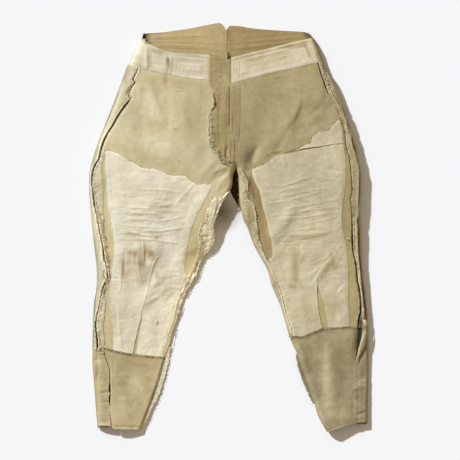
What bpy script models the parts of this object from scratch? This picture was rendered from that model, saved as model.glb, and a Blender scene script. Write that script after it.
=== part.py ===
"""Uniform riding breeches, turned inside out and laid flat on their back, front up.

Every cloth piece is a thin wall on one shared form: a pair of low tubes whose
underside lies flat and whose long edges are rounded. Left and right are the sides
of the picture, x to the right, y towards the waist, z up from the surface.
Sizes in the tables are millimetres.
"""
import math

import bmesh
import bpy
import numpy as np

MM = 0.001
BOX_CENTRE = (-0.1, -3.3)

# Cloth and the gaps between pieces
DRILL = 1.5
COTTON = 1.0
SEAM_GAP = 0.4
LAY_GAP = 0.4

# The crotch point, where the four leg seams meet
CROTCH_X = 18.0
CROTCH_Y = 142.0

# How the edges of the laid tubes turn over
TOP_RADIUS = 22.0
UNDER_RADIUS = 12.0
EDGE_SHARE = 0.42
INSEAM_INSET = 3.0
# Turns a distance in x from the slanting inner edge into the true one
INNER_SLANT = 0.93

# Frayed allowance that stands out past the calf, and how its end droops and narrows
CALF_FRAY = 12.0
CALF_FRAY_DROOP = 2.0
CALF_FRAY_TAPER = 0.6

# Hook at the top of the fly
HOOK_WIDTH = 5.0
HOOK_LENGTH = 13.0
HOOK_REACH = 7.0
HOOK_WIRE = 1.3
HOOK_DROP = 4.0
HOOK_X = -3.0

# Edges sharper than this many degrees are shaded as creases
SHARP_ANGLE = 50


def table(columns, rows):
    """Named columns from rows that run from the waist down."""
    values = np.array(rows, dtype=float)[::-1]
    return {name: values[:, i] for i, name in enumerate(columns.split())}


def read(lines, name, y):
    """A smooth curve through one column of a table, read at y, that never overshoots."""
    stations = lines["y"]
    values = lines[name]
    rates = np.diff(values) / np.diff(stations)
    product = rates[:-1] * rates[1:]
    total = np.where(product > 0, rates[:-1] + rates[1:], 1.0)
    slopes = np.concatenate([rates[:1], 2 * np.maximum(product, 0) / total, rates[-1:]])
    y = np.clip(y, stations[0], stations[-1])
    i = np.clip(np.searchsorted(stations, y) - 1, 0, len(stations) - 2)
    span = stations[i + 1] - stations[i]
    t = (y - stations[i]) / span
    rise = t * t * (3 - 2 * t)
    start = t * (1 - t) ** 2 * slopes[i] * span
    end = -t * t * (1 - t) * slopes[i + 1] * span
    return values[i] + (values[i + 1] - values[i]) * rise + start + end


# Outer silhouette and side seam from waist to hem
OUTER = {
    "l": table("y outer", [
        (468, -203), (437, -223), (411, -236), (353, -258), (296, -279), (238, -302),
        (180, -323), (123, -336), (94, -335), (65, -333), (5, -327), (-55, -321),
        (-115, -316), (-175, -322), (-235, -325), (-295, -327), (-357, -324),
        (-420, -320), (-484, -315)]),
    "r": table("y outer", [
        (462, 200), (437, 213), (411, 223), (382, 234), (353, 250), (324, 263),
        (296, 273), (238, 292), (180, 308), (123, 317), (65, 317), (5, 317),
        (-55, 319), (-115, 323), (-175, 330), (-235, 335), (-295, 336), (-357, 336),
        (-420, 335), (-474, 334)]),
}

# Inner silhouette of each leg, from the crotch down
INNER = {
    "l": table("y inner", [
        (142, 18), (123, 11), (94, 6), (65, -8), (36, -23), (5, -31), (-26, -34),
        (-55, -44), (-84, -62), (-115, -78), (-146, -95), (-175, -109), (-235, -129),
        (-295, -145), (-357, -163), (-420, -186), (-486, -212)]),
    "r": table("y inner", [
        (142, 18), (123, 23), (94, 25), (65, 28), (36, 34), (5, 43), (-26, 55),
        (-55, 68), (-84, 82), (-115, 96), (-146, 107), (-175, 119), (-235, 139),
        (-295, 161), (-357, 185), (-420, 206), (-451, 215), (-494, 237)]),
}

# Centre front and centre back, down to the crotch
CENTRE = table("y front back", [
    (495, 3, -5), (240, 3, -2), (228, 7, -1), (205, 12, 2), (165, 13, 9), (142, 18, 18)])

# Side seam, the lining's two edges, the frayed line by the inseam, the dart
SEAMS = {
    "l": table("y seam lining_out lining_in fray dart dart_width", [
        (447, -201, -183, -48, -18, -140, 1.5),
        (411, -209, -188, -48, -18, -145, 1.5),
        (353, -227, -203, -48, -17, -156, 1.5),
        (296, -247, -224, -48, -16, -168, 1.5),
        (238, -281, -258, -48, -16, -190, 1.5),
        (209, -297, -279, -47, -15, -200, 1.5),
        (180, -306, -295, -47, -14, -207, 1.5),
        (123, -326, -295, -44, -20, -210, 1.5),
        (95, -326, -293, -41, -27, -210, 1.5),
        (65, -322, -291, -56, -43, -209, 1.5),
        (5, -311, -281, -85, -65, -207, 1.5),
        (-55, -300, -275, -99, -74, -205, 1.5),
        (-115, -291, -282, -109, -92, -205, 1.5),
        (-146, -300, -283, -119, -106, -206, 1.5),
        (-202, -312, -282, -136, -125, -208, 2.0),
        (-250, -318, -277, -151, -141, -216, 7.5),
        (-312, -314, -277, -169, -159, -227, 9.0)]),
    "r": table("y seam lining_out lining_in fray dart dart_width", [
        (454, 196, 178, 28, 16, 150, 1.5),
        (411, 210, 190, 28, 16, 155, 1.5),
        (353, 229, 208, 28, 17, 165, 1.5),
        (296, 252, 233, 28, 17, 178, 1.5),
        (267, 266, 252, 28, 18, 187, 1.5),
        (238, 275, 266, 28, 18, 193, 1.5),
        (209, 281, 273, 33, 21, 198, 1.5),
        (180, 287, 278, 40, 24, 203, 1.5),
        (123, 294, 280, 60, 39, 205, 1.5),
        (65, 293, 275, 80, 50, 206, 1.5),
        (5, 297, 274, 94, 69, 207, 1.5),
        (-55, 301, 284, 106, 84, 208, 1.5),
        (-115, 310, 287, 121, 108, 210, 1.5),
        (-142, 314, 287, 132, 121, 213, 2.0),
        (-187, 318, 287, 148, 133, 220, 13.5),
        (-241, 311, 290, 167, 150, 231, 11.0),
        (-268, 308, 290, 175, 160, 236, 10.0)]),
}

# Height of the laid garment over the surface, by the outer and by the inner edge
HEIGHT = {
    "l": table("y outer inner", [
        (468, 15, 15), (411, 19, 20), (296, 25, 26), (180, 28, 30), (65, 27, 28),
        (-55, 24, 22), (-175, 21, 18), (-295, 17, 17), (-400, 13, 19), (-486, 12, 24)]),
    "r": table("y outer inner", [
        (468, 18, 15), (411, 22, 20), (296, 27, 26), (180, 29, 30), (65, 26, 28),
        (-55, 22, 22), (-175, 19, 18), (-241, 17, 18), (-357, 12, 19), (-494, 14, 25)]),
}

# Where the calf front and the calf back meet along the lacing edge
PLACKET = {
    "l": table("y front back", [
        (-290, -302, -303), (-320, -294, -295), (-350, -287, -288), (-378, -285, -288),
        (-400, -284, -290), (-419, -283, -288), (-432, -282, -284), (-488, -279, -281)]),
    "r": table("y front back", [
        (-225, 310, 319), (-250, 308, 324), (-270, 306, 323), (-295, 304, 315),
        (-320, 302, 306), (-335, 299, 301), (-420, 295, 297), (-480, 294, 296)]),
}

# Rows of the thigh panels: y at the side seam, half way across and at the inner edge
ROWS = {
    "l": table("row side middle inner parts", [
        (0, 447, 419, 411, 2), (1, 383, 363, 346, 1), (2, 345, 322, 305, 1),
        (3, 305, 284, 260, 1), (4, 268, 244, 222, 1), (5, 238, 205, 180, 1),
        (6, 212, 172, 145, 1), (7, 183, 131, 101, 1), (8, 145, 96, 62, 1),
        (9, 106, 62, 34, 1), (10, 62, 28, 5, 1), (11, 18, -8, -24, 1),
        (12, -25, -43, -53, 1), (13, -70, -83, -98, 2), (14, -118, -128, -142, 2),
        (15, -165, -172, -182, 1), (16, -202, -207, -214, 2), (17, -250, -256, -264, 2),
        (18, -293, -302, -312, 1)]),
    "r": table("row side middle inner parts", [
        (0, 454, 432, 408, 2), (1, 395, 372, 346, 1), (2, 358, 334, 305, 1),
        (3, 325, 298, 262, 1), (4, 298, 264, 222, 1), (5, 276, 232, 180, 1),
        (6, 262, 206, 145, 1), (7, 252, 189, 117, 1), (8, 203, 158, 78, 1),
        (9, 163, 119, 50, 1), (10, 120, 80, 20, 1), (11, 77, 42, -10, 1),
        (12, 34, 5, -42, 2), (13, -10, -36, -76, 2), (14, -66, -84, -112, 1),
        (15, -103, -118, -140, 1), (16, -140, -152, -172, 2), (17, -190, -203, -218, 2),
        (18, -241, -253, -262, 1)]),
}

# Rows of the calf panels, from the calf seam to the hem
CALF_ROWS = {
    "l": table("row side middle inner parts", [
        (0, -293, -302, -312, 3), (1, -378, -384, -390, 2), (2, -420, -424, -430, 2),
        (3, -480, -484, -486, 1)]),
    "r": table("row side middle inner parts", [
        (0, -241, -253, -262, 4), (1, -352, -362, -372, 2), (2, -420, -430, -440, 2),
        (3, -474, -482, -493, 1)]),
}

# Top edge of each half of the back, with the notch at the centre
BACK_TOP = {
    "l": np.array([(-205, 466), (-167, 468), (-126, 473), (-95, 478), (-56, 486),
                   (-33, 490), (-22, 492), (-13, 488), (-4, 474)], dtype=float),
    "r": np.array([(-5, 474), (-1, 481), (4, 485), (23, 484), (51, 479), (97, 475),
                   (148, 472), (181, 469), (194, 465), (203, 459)], dtype=float),
}

# Main folds: the line each follows, its half width and its height
FOLDS = table("y x y1 x1 width height", [
    (311, 183, 235, 146, 13, 7.0),
    (296, 190, 228, 160, 12, -5.0),
    (311, 235, 262, 200, 13, 5.0),
    (190, 62, 140, 42, 17, -6.0),
    (45, 160, -30, 100, 14, 4.0),
    (-75, 244, -115, 215, 12, 3.5),
    (-115, -160, -190, -210, 14, 3.5),
    (-45, -216, -90, -212, 10, 3.0),
    (-40, -168, -100, -190, 12, 3.0),
    (210, -60, 150, -20, 16, 3.0)])


# Share of a fold's length, from its middle, over which it keeps its full height
FOLD_FULL = 0.3


def fold_relief(x, y):
    """Soft ridges and troughs, each fading out at both ends."""
    relief = np.zeros(np.shape(x))
    for i in range(len(FOLDS["y"])):
        ax, ay = FOLDS["x"][i], FOLDS["y"][i]
        bx, by = FOLDS["x1"][i], FOLDS["y1"][i]
        length = math.hypot(bx - ax, by - ay)
        ux, uy = (bx - ax) / length, (by - ay) / length
        along = ((x - ax) * ux + (y - ay) * uy) / length
        across = ((x - ax) * uy - (y - ay) * ux) / FOLDS["width"][i]
        beyond = np.maximum(np.abs(along - 0.5) - FOLD_FULL, 0) * length / FOLDS["width"][i]
        relief = relief + FOLDS["height"][i] * np.exp(-across ** 2 - (0.6 * beyond) ** 2)
    return relief


def centre_front(side, y):
    """Inner limit of a front: centre front, then the leg's inner silhouette."""
    return np.where(y >= CROTCH_Y, read(CENTRE, "front", y), read(INNER[side], "inner", y))


def edge_distances(side, x, y):
    """How far a point lies in from the outer and from the inner silhouette."""
    outer = np.abs(x - read(OUTER[side], "outer", y))
    below = np.abs(x - read(INNER[side], "inner", y)) * INNER_SLANT
    above = np.hypot(x - CROTCH_X, y - CROTCH_Y)
    return outer, np.where(y >= CROTCH_Y, above, below)


def turn(distance, radius):
    """Quarter ellipse: 0 on the silhouette, 1 from one radius in."""
    inside = 1 - np.clip(distance / radius, 0, 1)
    return np.sqrt(1 - inside ** 2)


def heights(side, x, y):
    """Height of the upper layer and of the rounded edge at a point."""
    outer, inner = edge_distances(side, x, y)
    share = outer / (outer + inner + 1e-6)
    high = read(HEIGHT[side], "outer", y) * (1 - share)
    high = high + read(HEIGHT[side], "inner", y) * share
    return high, high * EDGE_SHARE, outer, inner


def upper(side, x, y):
    """Height of the middle of the upper layer."""
    high, edge, outer, inner = heights(side, x, y)
    shape = turn(outer, TOP_RADIUS) * turn(inner, TOP_RADIUS)
    return edge + (high - edge + fold_relief(x, y)) * shape - DRILL / 2


def under(side, x, y):
    """Height of the middle of the lower layer, flat but for its edges."""
    high, edge, outer, inner = heights(side, x, y)
    lift = (1 - turn(outer, UNDER_RADIUS)) + (1 - turn(inner, UNDER_RADIUS))
    return DRILL / 2 + (edge - DRILL) * np.clip(lift, 0, 1)


def normals(surface, side, x, y, down=False):
    """Unit normals of a layer, from its own slope."""
    step = 0.05
    slope_x = (surface(side, x + step, y) - surface(side, x - step, y)) / (2 * step)
    slope_y = (surface(side, x, y + step) - surface(side, x, y - step)) / (2 * step)
    normal = np.stack([-slope_x, -slope_y, np.ones_like(slope_x)], axis=-1)
    normal /= np.linalg.norm(normal, axis=-1, keepdims=True)
    return -normal if down else normal


def row_list(rows):
    """Side, middle and inner y of every row, with the parts between key rows filled in."""
    order = np.argsort(rows["row"])
    keys = np.stack([rows[n][order] for n in ("side", "middle", "inner")], axis=1)
    parts = rows["parts"][order].astype(int)
    out = []
    index = {}
    for k in range(len(keys) - 1):
        index[k] = len(out)
        for p in range(parts[k]):
            out.append(keys[k] + (keys[k + 1] - keys[k]) * p / parts[k])
    index[len(keys) - 1] = len(out)
    out.append(keys[-1])
    return np.array(out), index


def row_curve(row, share):
    """y across a row: a shallow arc through its three values."""
    side_y, middle_y, inner_y = row
    bow = middle_y - (side_y + inner_y) / 2
    return side_y + (inner_y - side_y) * share + 4 * bow * share * (1 - share)


class Grid:
    """Points of one laid panel: rows down the leg, columns from side to inside."""

    def __init__(self, points, normal):
        self.points = points
        self.normal = normal

    def moved(self, distance):
        return self.points + self.normal * distance


FRONT_COLUMNS = (
    ("seam", "seam", 0.0), ("seam", "lining_out", 0.45), ("seam", "lining_out", 0.9),
    ("lining_out", "lining_out", 0.0), ("lining_out", "dart_out", 0.33),
    ("lining_out", "dart_out", 0.67), ("dart_out", "dart_out", 0.0),
    ("dart_in", "dart_in", 0.0), ("dart_in", "lining_in", 0.2),
    ("dart_in", "lining_in", 0.4), ("dart_in", "lining_in", 0.6),
    ("dart_in", "lining_in", 0.8), ("lining_in", "lining_in", 0.0),
    ("lining_in", "fray", 0.55), ("fray", "fray", 0.0), ("fray", "inseam", 0.55),
    ("inseam", "inseam", 0.0))
ALLOWANCE_EDGE = 2
LINING_OUT = 3
DART_OUT = 6
DART_IN = 7
LINING_IN = 12
FRAY = 14
INSEAM = 16
# Times that a point is moved until it lies both on its row and on its lengthwise line
PASSES = 12


def inward(side):
    """Direction from the outer silhouette to the inside of the leg."""
    return 1.0 if side == "l" else -1.0


def front_line(side, name, y):
    """x of one lengthwise line of the front."""
    lines = SEAMS[side]
    way = inward(side)
    if name == "seam":
        return read(lines, "seam", y) + way * SEAM_GAP / 2
    if name == "dart_out":
        return read(lines, "dart", y) - way * read(lines, "dart_width", y) / 2
    if name == "dart_in":
        return read(lines, "dart", y) + way * read(lines, "dart_width", y) / 2
    if name == "inseam":
        inset = np.where(y > CROTCH_Y, SEAM_GAP / 2, INSEAM_INSET + SEAM_GAP / 2)
        return centre_front(side, y) - way * inset
    return read(lines, name, y)


def front_grid(side):
    """The front from waist to calf seam."""
    rows, index = row_list(ROWS[side])
    points = np.zeros((len(rows), len(FRONT_COLUMNS), 3))
    for r, row in enumerate(rows):
        first = front_line(side, "seam", row[0])
        last = front_line(side, "inseam", row[2])
        for c, (a, b, share) in enumerate(FRONT_COLUMNS):
            y = row_curve(row, c / INSEAM)
            for _ in range(PASSES):
                x = front_line(side, a, y)
                x = x + (front_line(side, b, y) - x) * share
                y = row_curve(row, np.clip((x - first) / (last - first), 0, 1))
            if c == 0:
                x, y = first, row[0]
            if c == INSEAM:
                x, y = last, row[2]
            points[r, c, 0] = x
            points[r, c, 1] = y
    x, y = points[..., 0], points[..., 1]
    points[..., 2] = upper(side, x, y)
    return Grid(points, normals(upper, side, x, y)), index


WRAP_TOP = (1.0, 0.44, 0.11)
WRAP_UNDER = 0.29
FLOOR_SHARES = (0.25, 0.5, 0.75)
EDGE = len(WRAP_TOP)
FLOOR_START = EDGE + 2
BACK_CENTRE = FLOOR_START + len(FLOOR_SHARES) + 1
BACK_INSEAM = BACK_CENTRE + 4


def straight(r, x, y):
    """Leaves a row where it is."""
    return y


def back_grid(side, rows, seam, first_leg_row, top_edge=None, top_rows=0, level=straight):
    """The back: over the outer edge, across the surface and up the inner edge."""
    way = inward(side)
    points = np.zeros((len(rows), BACK_INSEAM + 1, 3))
    normal = np.zeros_like(points)

    def put(r, c, x, y, layer, down):
        points[r, c] = x, y, layer(side, x, y)
        normal[r, c] = normals(layer, side, np.array(x), np.array(y), down)

    def put_edge(r, c, x, y, direction):
        points[r, c] = x, y, float(heights(side, x, y)[1])
        normal[r, c] = direction

    for r, (side_y, _, inner_y) in enumerate(rows):
        outer = read(OUTER[side], "outer", side_y)
        reach = abs(seam(side_y) - way * SEAM_GAP / 2 - outer)
        for c, share in enumerate(WRAP_TOP):
            x = outer + way * reach * share
            put(r, c, x, level(r, x, side_y), upper, False)
        out_x = outer + way * DRILL / 2
        put_edge(r, EDGE, out_x, side_y, (-way, 0, 0))
        put(r, EDGE + 1, outer + way * UNDER_RADIUS * WRAP_UNDER, side_y, under, True)
        put(r, FLOOR_START, outer + way * UNDER_RADIUS, side_y, under, True)
        leg = r > first_leg_row
        inner = read(INNER[side], "inner", inner_y)
        if leg:
            inner_x = inner - way * UNDER_RADIUS / INNER_SLANT
        else:
            inner_x = read(CENTRE, "back", inner_y) - way * SEAM_GAP / 2
        start = outer + way * UNDER_RADIUS
        for i, share in enumerate(FLOOR_SHARES + (1.0,)):
            x = start + (inner_x - start) * share
            y = side_y + (inner_y - side_y) * share
            if top_edge is not None and r < top_rows:
                drop = r / top_rows
                y = np.interp(x, top_edge[:, 0], top_edge[:, 1]) * (1 - drop) + y * drop
            put(r, FLOOR_START + 1 + i, x, y, under, True)
        if leg:
            inset = INSEAM_INSET - SEAM_GAP / 2
            put(r, BACK_CENTRE + 1, inner - way * UNDER_RADIUS * WRAP_UNDER, inner_y, under, True)
            put_edge(r, BACK_CENTRE + 2, inner - way * DRILL / 2, inner_y, (way, 0, 0))
            put(r, BACK_CENTRE + 3, inner - way * inset * 0.4, inner_y, upper, False)
            put(r, BACK_INSEAM, inner - way * inset, inner_y, upper, False)
        elif r == first_leg_row:
            fork = (CROTCH_X - way * SEAM_GAP / 2, CROTCH_Y + DRILL / 2)
            for c in range(BACK_CENTRE, BACK_INSEAM + 1):
                put_edge(r, c, fork[0], fork[1], (0, -1, 0))
    return Grid(points, normal)


def wall(name, material, lower, higher, cells, merge=None, crossed=0):
    """One closed piece of cloth between two sets of points, over the cells given.

    Columns before crossed are split along the other diagonal, as the panel under them is.
    """
    mesh = bmesh.new()
    made = {}

    def vertex(layer, key):
        key = merge(key) if merge else key
        if (layer, key) not in made:
            source = higher if layer else lower
            place = source[key] * MM
            made[layer, key] = mesh.verts.new((
                place[0] - BOX_CENTRE[0] * MM, place[1] - BOX_CENTRE[1] * MM, place[2]))
        return made[layer, key]

    borders = {}
    order = facing(lower, higher, cells)
    for r, c in cells:
        corners = ((r, c), (r + 1, c), (r + 1, c + 1), (r, c + 1))
        for triangle in ((0, 1, 3), (1, 2, 3)) if c < crossed else ((0, 1, 2), (0, 2, 3)):
            keys = [corners[i] for i in triangle][::order]
            merged = [merge(k) if merge else k for k in keys]
            if len(set(merged)) < 3:
                continue
            mesh.faces.new([vertex(1, k) for k in keys])
            mesh.faces.new([vertex(0, k) for k in reversed(keys)])
            for a, b in zip(merged, merged[1:] + merged[:1]):
                if (b, a) in borders:
                    del borders[b, a]
                else:
                    borders[a, b] = True
    for a, b in borders:
        mesh.faces.new((vertex(1, b), vertex(1, a), vertex(0, a), vertex(0, b)))
    finish(name, mesh, material)


def facing(lower, higher, cells):
    """1 where the cells turn anticlockwise seen from their higher side, else -1."""
    total = 0.0
    for r, c in cells:
        down = higher[r + 1, c] - higher[r, c]
        across = higher[r + 1, c + 1] - higher[r, c]
        total += float(np.dot(np.cross(down, across), higher[r, c] - lower[r, c]))
    return 1 if total > 0 else -1


def finish(name, mesh, material):
    """Turns a bmesh into one named object with its material."""
    data = bpy.data.meshes.new(name)
    mesh.to_mesh(data)
    mesh.free()
    data.materials.append(material)
    data.shade_smooth()
    data.set_sharp_from_angle(angle=math.radians(SHARP_ANGLE))
    bpy.context.collection.objects.link(bpy.data.objects.new(name, data))


def finish_material(name, colour, roughness, metallic=0.0):
    """A plain finish: colour, roughness and metallic value."""
    material = bpy.data.materials.new(name)
    material.use_nodes = True
    shader = material.node_tree.nodes["Principled BSDF"]
    shader.inputs["Base Color"].default_value = (*colour, 1.0)
    shader.inputs["Roughness"].default_value = roughness
    shader.inputs["Metallic"].default_value = metallic
    return material


def block(rows, columns, leave=()):
    """Cells between the first and last row and column, less those left out."""
    return [(r, c) for r in range(*rows) for c in range(*columns) if (r, c) not in leave]


def lay(name, material, grid, thickness, cells, crossed=0):
    """A piece that lies on a panel: the panel's own points, moved out."""
    bottom = DRILL / 2 + LAY_GAP
    wall(name, material, grid.moved(bottom), grid.moved(bottom + thickness), cells, None, crossed)


def shorten(grid, rows, columns, gap=SEAM_GAP):
    """A copy of a grid with its end rows or columns drawn in by the seam gap."""
    points = grid.points.copy()
    for line, inside in rows:
        points[line] = pulled(points[line], points[inside], gap)
    for line, inside in columns:
        points[:, line] = pulled(points[:, line], points[:, inside], gap)
    return Grid(points, grid.normal)


def pulled(ends, inner, gap):
    """End points moved a little way towards the points inside them."""
    away = inner - ends
    length = np.linalg.norm(away, axis=-1, keepdims=True)
    return ends + away / np.maximum(length, 1e-6) * gap


def make_front(side, paint):
    """Front, its lining and what is sewn on it."""
    grid, index = front_grid(side)
    last = index[18]
    body = shorten(grid, [(last, last - 1)], [])
    wall("front_" + side, paint["drill"], body.moved(-DRILL / 2), body.moved(DRILL / 2),
         block((0, last), (0, INSEAM)))
    make_lining(side, body, index, paint)
    make_fly(side, body, index, paint)
    strip = shorten(body, [], [(ALLOWANCE_EDGE, 1)])
    lay("side_allowance_front_" + side, paint["drill"], strip, COTTON,
        block((index[1], last), (0, ALLOWANCE_EDGE)))
    inner = shorten(body, [], [(FRAY, FRAY + 1)])
    first = index[7]
    lay("inseam_allowance_" + side, paint["drill"], inner, COTTON,
        block((first, last), (FRAY, INSEAM)))
    return body, index


# Key row at which the strip of bare drill beside the inseam ends, and the dart's top row
STRIP_END = {"l": 14, "r": 13}
DART_TOP = {"l": 16, "r": 15}
WEDGE_COLUMNS = (LINING_OUT, 9)


def make_lining(side, body, index, paint):
    """Cotton knee lining, open at the dart; on the right with its pieced wedge."""
    first, last = index[7], index[18]
    dart = block((index[DART_TOP[side]], last), (DART_OUT, DART_IN))
    wedge = block((first, index[8]), WEDGE_COLUMNS) if side == "r" else []
    cells = block((first, last), (LINING_OUT, LINING_IN), dart + wedge)
    cells += block((index[STRIP_END[side]], last), (LINING_IN, FRAY))
    grid = shorten(body, [(first, first + 1)], [(FRAY, FRAY - 1)])
    lay("knee_lining_" + side, paint["cotton"], grid, COTTON, cells)
    if wedge:
        piece = shorten(body, [(index[8], index[8] - 1)], [(WEDGE_COLUMNS[1], WEDGE_COLUMNS[1] - 1)])
        lay("lining_wedge_" + side, paint["cotton"], piece, COTTON, wedge)


def make_waist_facing(side, body, back, added, index, paint):
    """Cotton facing inside the waist; the left one goes on over the side."""
    rows = (0, index[1])
    if side == "r":
        grid = shorten(body, [(index[1], index[1] - 1)], [])
        lay("waist_facing_r", paint["cotton"], grid, COTTON, block(rows, (0, INSEAM)))
        return
    wrap = slice(added, added + index[1] + 1)
    points = np.concatenate([back.points[wrap, EDGE:0:-1], body.points[:index[1] + 1]], axis=1)
    normal = np.concatenate([back.normal[wrap, EDGE:0:-1], body.normal[:index[1] + 1]], axis=1)
    last = EDGE + LINING_IN
    grid = Grid(points, normal)
    grid = shorten(grid, [(index[1], index[1] - 1)], [(last, last - 1)])
    lay("waist_facing_l", paint["cotton"], grid, COTTON, block(rows, (0, last)), EDGE)


def make_fly(side, body, index, paint):
    """Fly facing on the left front, and the turned fly edge on the right front."""
    if side == "l":
        grid = shorten(body, [(index[6], index[6] - 1)], [])
        lay("fly_facing_l", paint["drill"], grid, COTTON, block((0, index[6]), (LINING_IN, INSEAM)))
        return
    lay("fly_facing_r", paint["drill"], body, COTTON, block((index[1], index[5]), (LINING_IN, INSEAM)))


# Inner y of the back's second row, just under the notch
UNDER_NOTCH = 445.0


def make_back(side, index, paint):
    """Back of the hip and thigh, with its seam allowance."""
    rows, _ = row_list(ROWS[side])
    crotch = index[6]
    rows = rows.copy()
    top = BACK_TOP[side]
    edge_y = top[0 if side == "l" else -1, 1]
    extra = np.array([(edge_y, 0, top[-1 if side == "l" else 0, 1]),
                      ((edge_y + rows[0][0]) / 2, 0, UNDER_NOTCH)])
    rows = np.concatenate([extra, rows])
    added = len(extra)

    def seam(y):
        return read(SEAMS[side], "seam", y)

    grid = back_grid(side, rows, seam, crotch + added, top, added)
    grid = shorten(grid, [(len(rows) - 1, len(rows) - 2)], [])
    last = len(rows) - 1
    no_wrap = block((0, added), (0, EDGE))
    cells = block((0, last), (0, BACK_CENTRE), no_wrap)
    cells += block((crotch + added, last), (BACK_CENTRE, BACK_INSEAM))

    def merge(key):
        if key[0] == crotch + added and key[1] > BACK_CENTRE:
            return (key[0], BACK_CENTRE)
        return key

    wall("back_" + side, paint["drill"], grid.moved(-DRILL / 2), grid.moved(DRILL / 2), cells, merge)
    strip = shorten(grid, [], [(EDGE - 1, EDGE - 2)])
    lay("side_allowance_back_" + side, paint["drill"], strip, COTTON,
        block((index[1] + added, last - 1), (0, EDGE - 1)))
    return grid, added


CALF_COLUMNS = (0.0, 0.12, 0.3, 0.5, 0.68, 0.82, 0.92, 1.0)


def make_calf(side, paint):
    """Calf front and calf back, with the frayed allowance that stands out past them."""
    way = inward(side)
    rows, index = row_list(CALF_ROWS[side])
    points = np.zeros((len(rows), len(CALF_COLUMNS), 3))
    seam_row = row_list(ROWS[side])[0][-1]
    seam_ends = front_line(side, "seam", seam_row[0]), front_line(side, "inseam", seam_row[2])

    def level(r, x, y):
        if r > 0:
            return y
        share = np.clip((x - seam_ends[0]) / (seam_ends[1] - seam_ends[0]), 0, 1)
        return row_curve(seam_row, share)

    for r, row in enumerate(rows):
        first = read(PLACKET[side], "front", row[0]) + way * SEAM_GAP / 2
        last = read(INNER[side], "inner", row[2]) - way * (INSEAM_INSET + SEAM_GAP / 2)
        for c, share in enumerate(CALF_COLUMNS):
            x = first + (last - first) * share
            points[r, c, :2] = x, level(r, x, row_curve(row, share))
    x, y = points[..., 0], points[..., 1]
    points[..., 2] = upper(side, x, y)
    front = Grid(points, normals(upper, side, x, y))
    front = shorten(front, [(0, 1)], [])
    wall("calf_front_" + side, paint["drill"], front.moved(-DRILL / 2), front.moved(DRILL / 2),
         block((0, len(rows) - 1), (0, len(CALF_COLUMNS) - 1)))

    def edge(y):
        return read(PLACKET[side], "back", y)

    back = back_grid(side, rows, edge, -1, level=level)
    back = shorten(back, [(0, 1)], [])
    wall("calf_back_" + side, paint["drill"], back.moved(-DRILL / 2), back.moved(DRILL / 2),
         block((0, len(rows) - 1), (0, BACK_INSEAM)))
    make_calf_fray(side, back, paint)
    return back


CALF_FRAY_ROWS = {"l": (0, 6), "r": (4, 7)}


def make_calf_fray(side, back, paint):
    """Strip of the calf seam's allowance, out past the inner edge."""
    way = inward(side)
    first, last = CALF_FRAY_ROWS[side]
    edge = back.points[first:last + 1, BACK_CENTRE + 2]
    count = len(edge)
    taper = 1 - CALF_FRAY_TAPER * np.abs(np.linspace(-CALF_FRAY_TAPER, 1, count)) ** 3
    start = edge + np.array((way * (DRILL / 2 + LAY_GAP), 0, 0))
    out = np.array((way * CALF_FRAY, 0, -CALF_FRAY_DROOP))
    end = start + out * taper[:, None]
    flat = np.stack([start, (start + end) / 2, end], axis=1)
    half = np.array((0, 0, COTTON / 2))
    wall("calf_allowance_" + side, paint["drill"], flat - half, flat + half,
         block((0, count - 1), (0, 2)))


# The facing patch: its rows, and how far it stops short of the lacing edge
PATCH_ROWS = (4, 8)
PATCH_SHORT = 1.5
FLAP = table("y x width", [
    (-224, 322, 3), (-238, 329, 7), (-256, 328, 12), (-276, 325, 13), (-296, 320, 10),
    (-314, 313, 6), (-326, 308, 3)])
FLAP_RISE = (3.0, 1.2, 0.0)
FLAP_INSET = 2.5


def make_placket_pieces(back, paint):
    """On the right calf: the facing patch over the wrap and the loose twisted flap."""
    patch = shorten(back, [], [(EDGE - 1, EDGE - 2)])
    patch = shorten(patch, [], [(0, 1)], PATCH_SHORT)
    lay("placket_facing_r", paint["drill"], patch, COTTON, block(PATCH_ROWS, (0, EDGE - 1)))
    stations = FLAP["y"][::-1]
    points = np.zeros((len(stations), 3, 3))
    for i, y in enumerate(stations):
        middle = read(FLAP, "x", y)
        half = read(FLAP, "width", y) / 2
        for j, way in enumerate((-1, 0, 1)):
            x = min(middle + way * half, read(OUTER["r"], "outer", y) - FLAP_INSET)
            points[i, j] = x, y, upper("r", x, y)
    x, y = points[..., 0], points[..., 1]
    rise = np.array(FLAP_RISE)[None, :, None] * np.array((0, 0, 1.0))
    grid = Grid(points + rise, np.broadcast_to(np.array((0, 0, 1.0)), points.shape))
    base = DRILL / 2 + LAY_GAP
    wall("placket_flap_r", paint["drill"], grid.moved(base), grid.moved(base + COTTON),
         block((0, len(stations) - 1), (0, 2)))


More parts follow.
